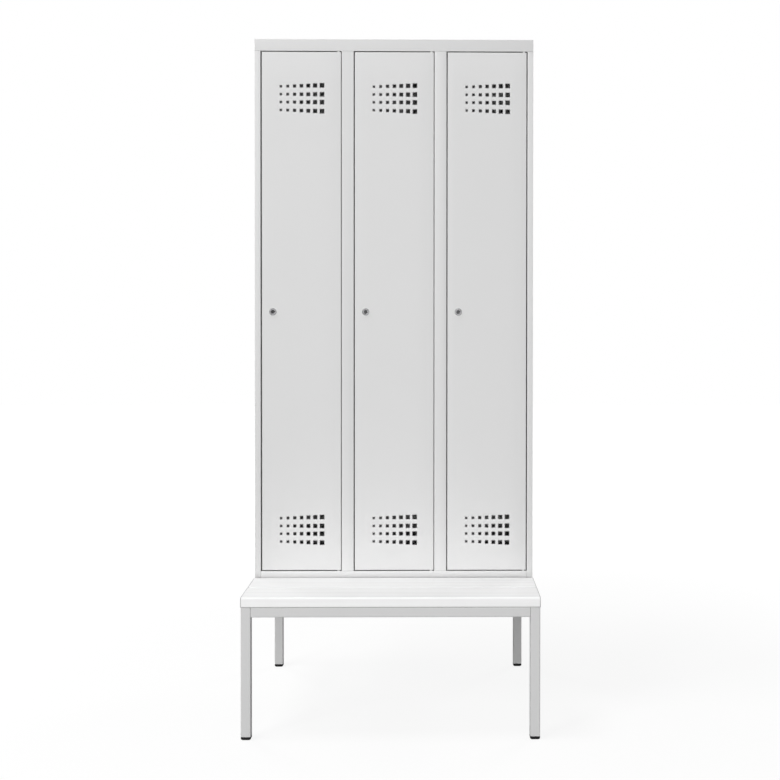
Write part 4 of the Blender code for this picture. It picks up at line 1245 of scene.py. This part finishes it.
# Locks: a cylinder lock in each door, die cast and plated. Its head has a chamfered rim, its threaded body
# goes through the door and is held by a flat nut, and the plug turns a cam behind the frame's strike strip.
# The photograph shows only a dark spot in a lighter ring, so the rest is a guess.
LOCK_TONE = (0.19, 0.19, 0.193)
PLUG_TONE = (0.035, 0.035, 0.036)
LOCK_STEPS = 48
LOCK_CREASE = 30.0
HEAD_RADIUS = 0.0115
HEAD_HEIGHT = 0.0026
HEAD_CHAMFER = 0.0012
HEAD_ROUNDING = 0.0005
HEAD_ROUNDING_DROP = 0.00015
HEAD_SHOULDER = 0.0002
HEAD_SHOULDER_DROP = 0.0001
DISH_RADIUS = 0.0082
DISH_DEPTH = 0.0013
DISH_FILLET = 0.0006
DISH_RIM = 0.0003
DISH_RIM_DROP = 0.0002
BODY_RADIUS = 0.0090
THREAD_PITCH = 0.0010
THREAD_DEPTH = 0.0005
THREAD_START = 0.0006
THREAD_ENDS = 0.0012
THREAD_CREST = (0.4, 0.6)
BODY_END_CHAMFER = 0.0004
PLUG_RADIUS = 0.0063
BORE_RADIUS = 0.0066
PLUG_CHAMFER = 0.0005
GROOVE_INSET = 0.0012
GROOVE_HALF_MOUTH = 0.0004
GROOVE_HALF_FLOOR = 0.0002
GROOVE_DEPTH = 0.0003
BOSS_RADIUS = 0.0036
BOSS_STEP = 0.0002
KEYWAY_DEPTH = 0.012
KEYWAY_OVERRUN = 0.002
KEYWAY = (
    (-0.0011, -0.0042), (0.0008, -0.0042), (0.0008, -0.0018), (0.0014, -0.0010),
    (0.0014, 0.0006), (0.0006, 0.0014), (0.0006, 0.0042), (-0.0011, 0.0042),
    (-0.0011, 0.0022), (-0.0005, 0.0014), (-0.0005, -0.0006), (-0.0011, -0.0014),
)
NUT_EDGE = 0.0005
CAM_EDGE = 0.0004

lock_finish = {"lines": (260.0,) * 3, "line_depth": 0.20, "blotch": 0.30}
lock_metal = metal("lock_plate", LOCK_TONE, gloss=(0.34, 0.44), **lock_finish)
plug_metal = metal("lock_plug_plate", PLUG_TONE, gloss=(0.34, 0.46), **lock_finish)
root = BODY_RADIUS - THREAD_DEPTH
flat_edge = PLUG_RADIUS - PLUG_CHAMFER
groove = flat_edge - GROOVE_INSET
for number in "123":
    low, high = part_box("lock_housing_" + number)
    x, z = middle_of("lock_housing_" + number)[::2]
    length = high.y - low.y
    housing = [
        (BORE_RADIUS, DISH_DEPTH),
        (DISH_RADIUS - DISH_FILLET, DISH_DEPTH),
        (DISH_RADIUS, DISH_DEPTH - DISH_FILLET),
        (DISH_RADIUS + DISH_RIM, DISH_RIM_DROP),
        (DISH_RADIUS + 2 * DISH_RIM, 0.0),
        (HEAD_RADIUS - HEAD_CHAMFER - HEAD_ROUNDING, 0.0),
        (HEAD_RADIUS - HEAD_CHAMFER, HEAD_ROUNDING_DROP),
        (HEAD_RADIUS - HEAD_SHOULDER, HEAD_CHAMFER - HEAD_SHOULDER_DROP),
        (HEAD_RADIUS, HEAD_CHAMFER + HEAD_SHOULDER),
        (HEAD_RADIUS, HEAD_HEIGHT),
        (root, HEAD_HEIGHT),
    ]
    for turn in range(int((length - HEAD_HEIGHT - THREAD_ENDS) / THREAD_PITCH)):
        start = HEAD_HEIGHT + THREAD_START + turn * THREAD_PITCH
        housing.append((root, start))
        for share in THREAD_CREST:
            housing.append((BODY_RADIUS, start + THREAD_PITCH * share))
    housing.append((root, length - BODY_END_CHAMFER))
    housing.append((BODY_RADIUS - 2 * THREAD_DEPTH, length))
    housing.append((BORE_RADIUS, length))
    shape = bmesh.new()
    turned(shape, (x, low.y, z), (0, 1, 0), housing, LOCK_STEPS)
    show_instead("lock_housing_" + number, shape, lock_metal, LOCK_CREASE)

    plug_low, plug_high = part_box("lock_plug_" + number)
    plug_face = plug_low.y + DISH_DEPTH / 2
    body_end = high.y - plug_face
    boss_end = plug_high.y - plug_face
    plug = [
        (0.0, 0.0),
        (groove - GROOVE_HALF_MOUTH, 0.0),
        (groove - GROOVE_HALF_FLOOR, GROOVE_DEPTH),
        (groove + GROOVE_HALF_FLOOR, GROOVE_DEPTH),
        (groove + GROOVE_HALF_MOUTH, 0.0),
        (flat_edge, 0.0),
        (PLUG_RADIUS, PLUG_CHAMFER),
        (PLUG_RADIUS, body_end),
        (BOSS_RADIUS, body_end + BOSS_STEP),
        (BOSS_RADIUS, boss_end),
        (0.0, boss_end),
    ]
    shape = bmesh.new()
    turned(shape, (x, plug_face, z), (0, 1, 0), plug, LOCK_STEPS)
    shown_plug = show_instead("lock_plug_" + number, shape, plug_metal, LOCK_CREASE)
    keyway = bmesh.new()
    outline = [(x + u, z + v) for u, v in KEYWAY]
    prism(keyway, outline, "Y", plug_face - KEYWAY_OVERRUN, plug_face + KEYWAY_DEPTH)
    bore_out(shown_plug, keyway)

    eased_piece("lock_nut_" + number, zinc, NUT_EDGE, segments=2, least_turn=50.0)
    eased_piece("lock_cam_" + number, zinc, CAM_EDGE, segments=2, least_turn=50.0)
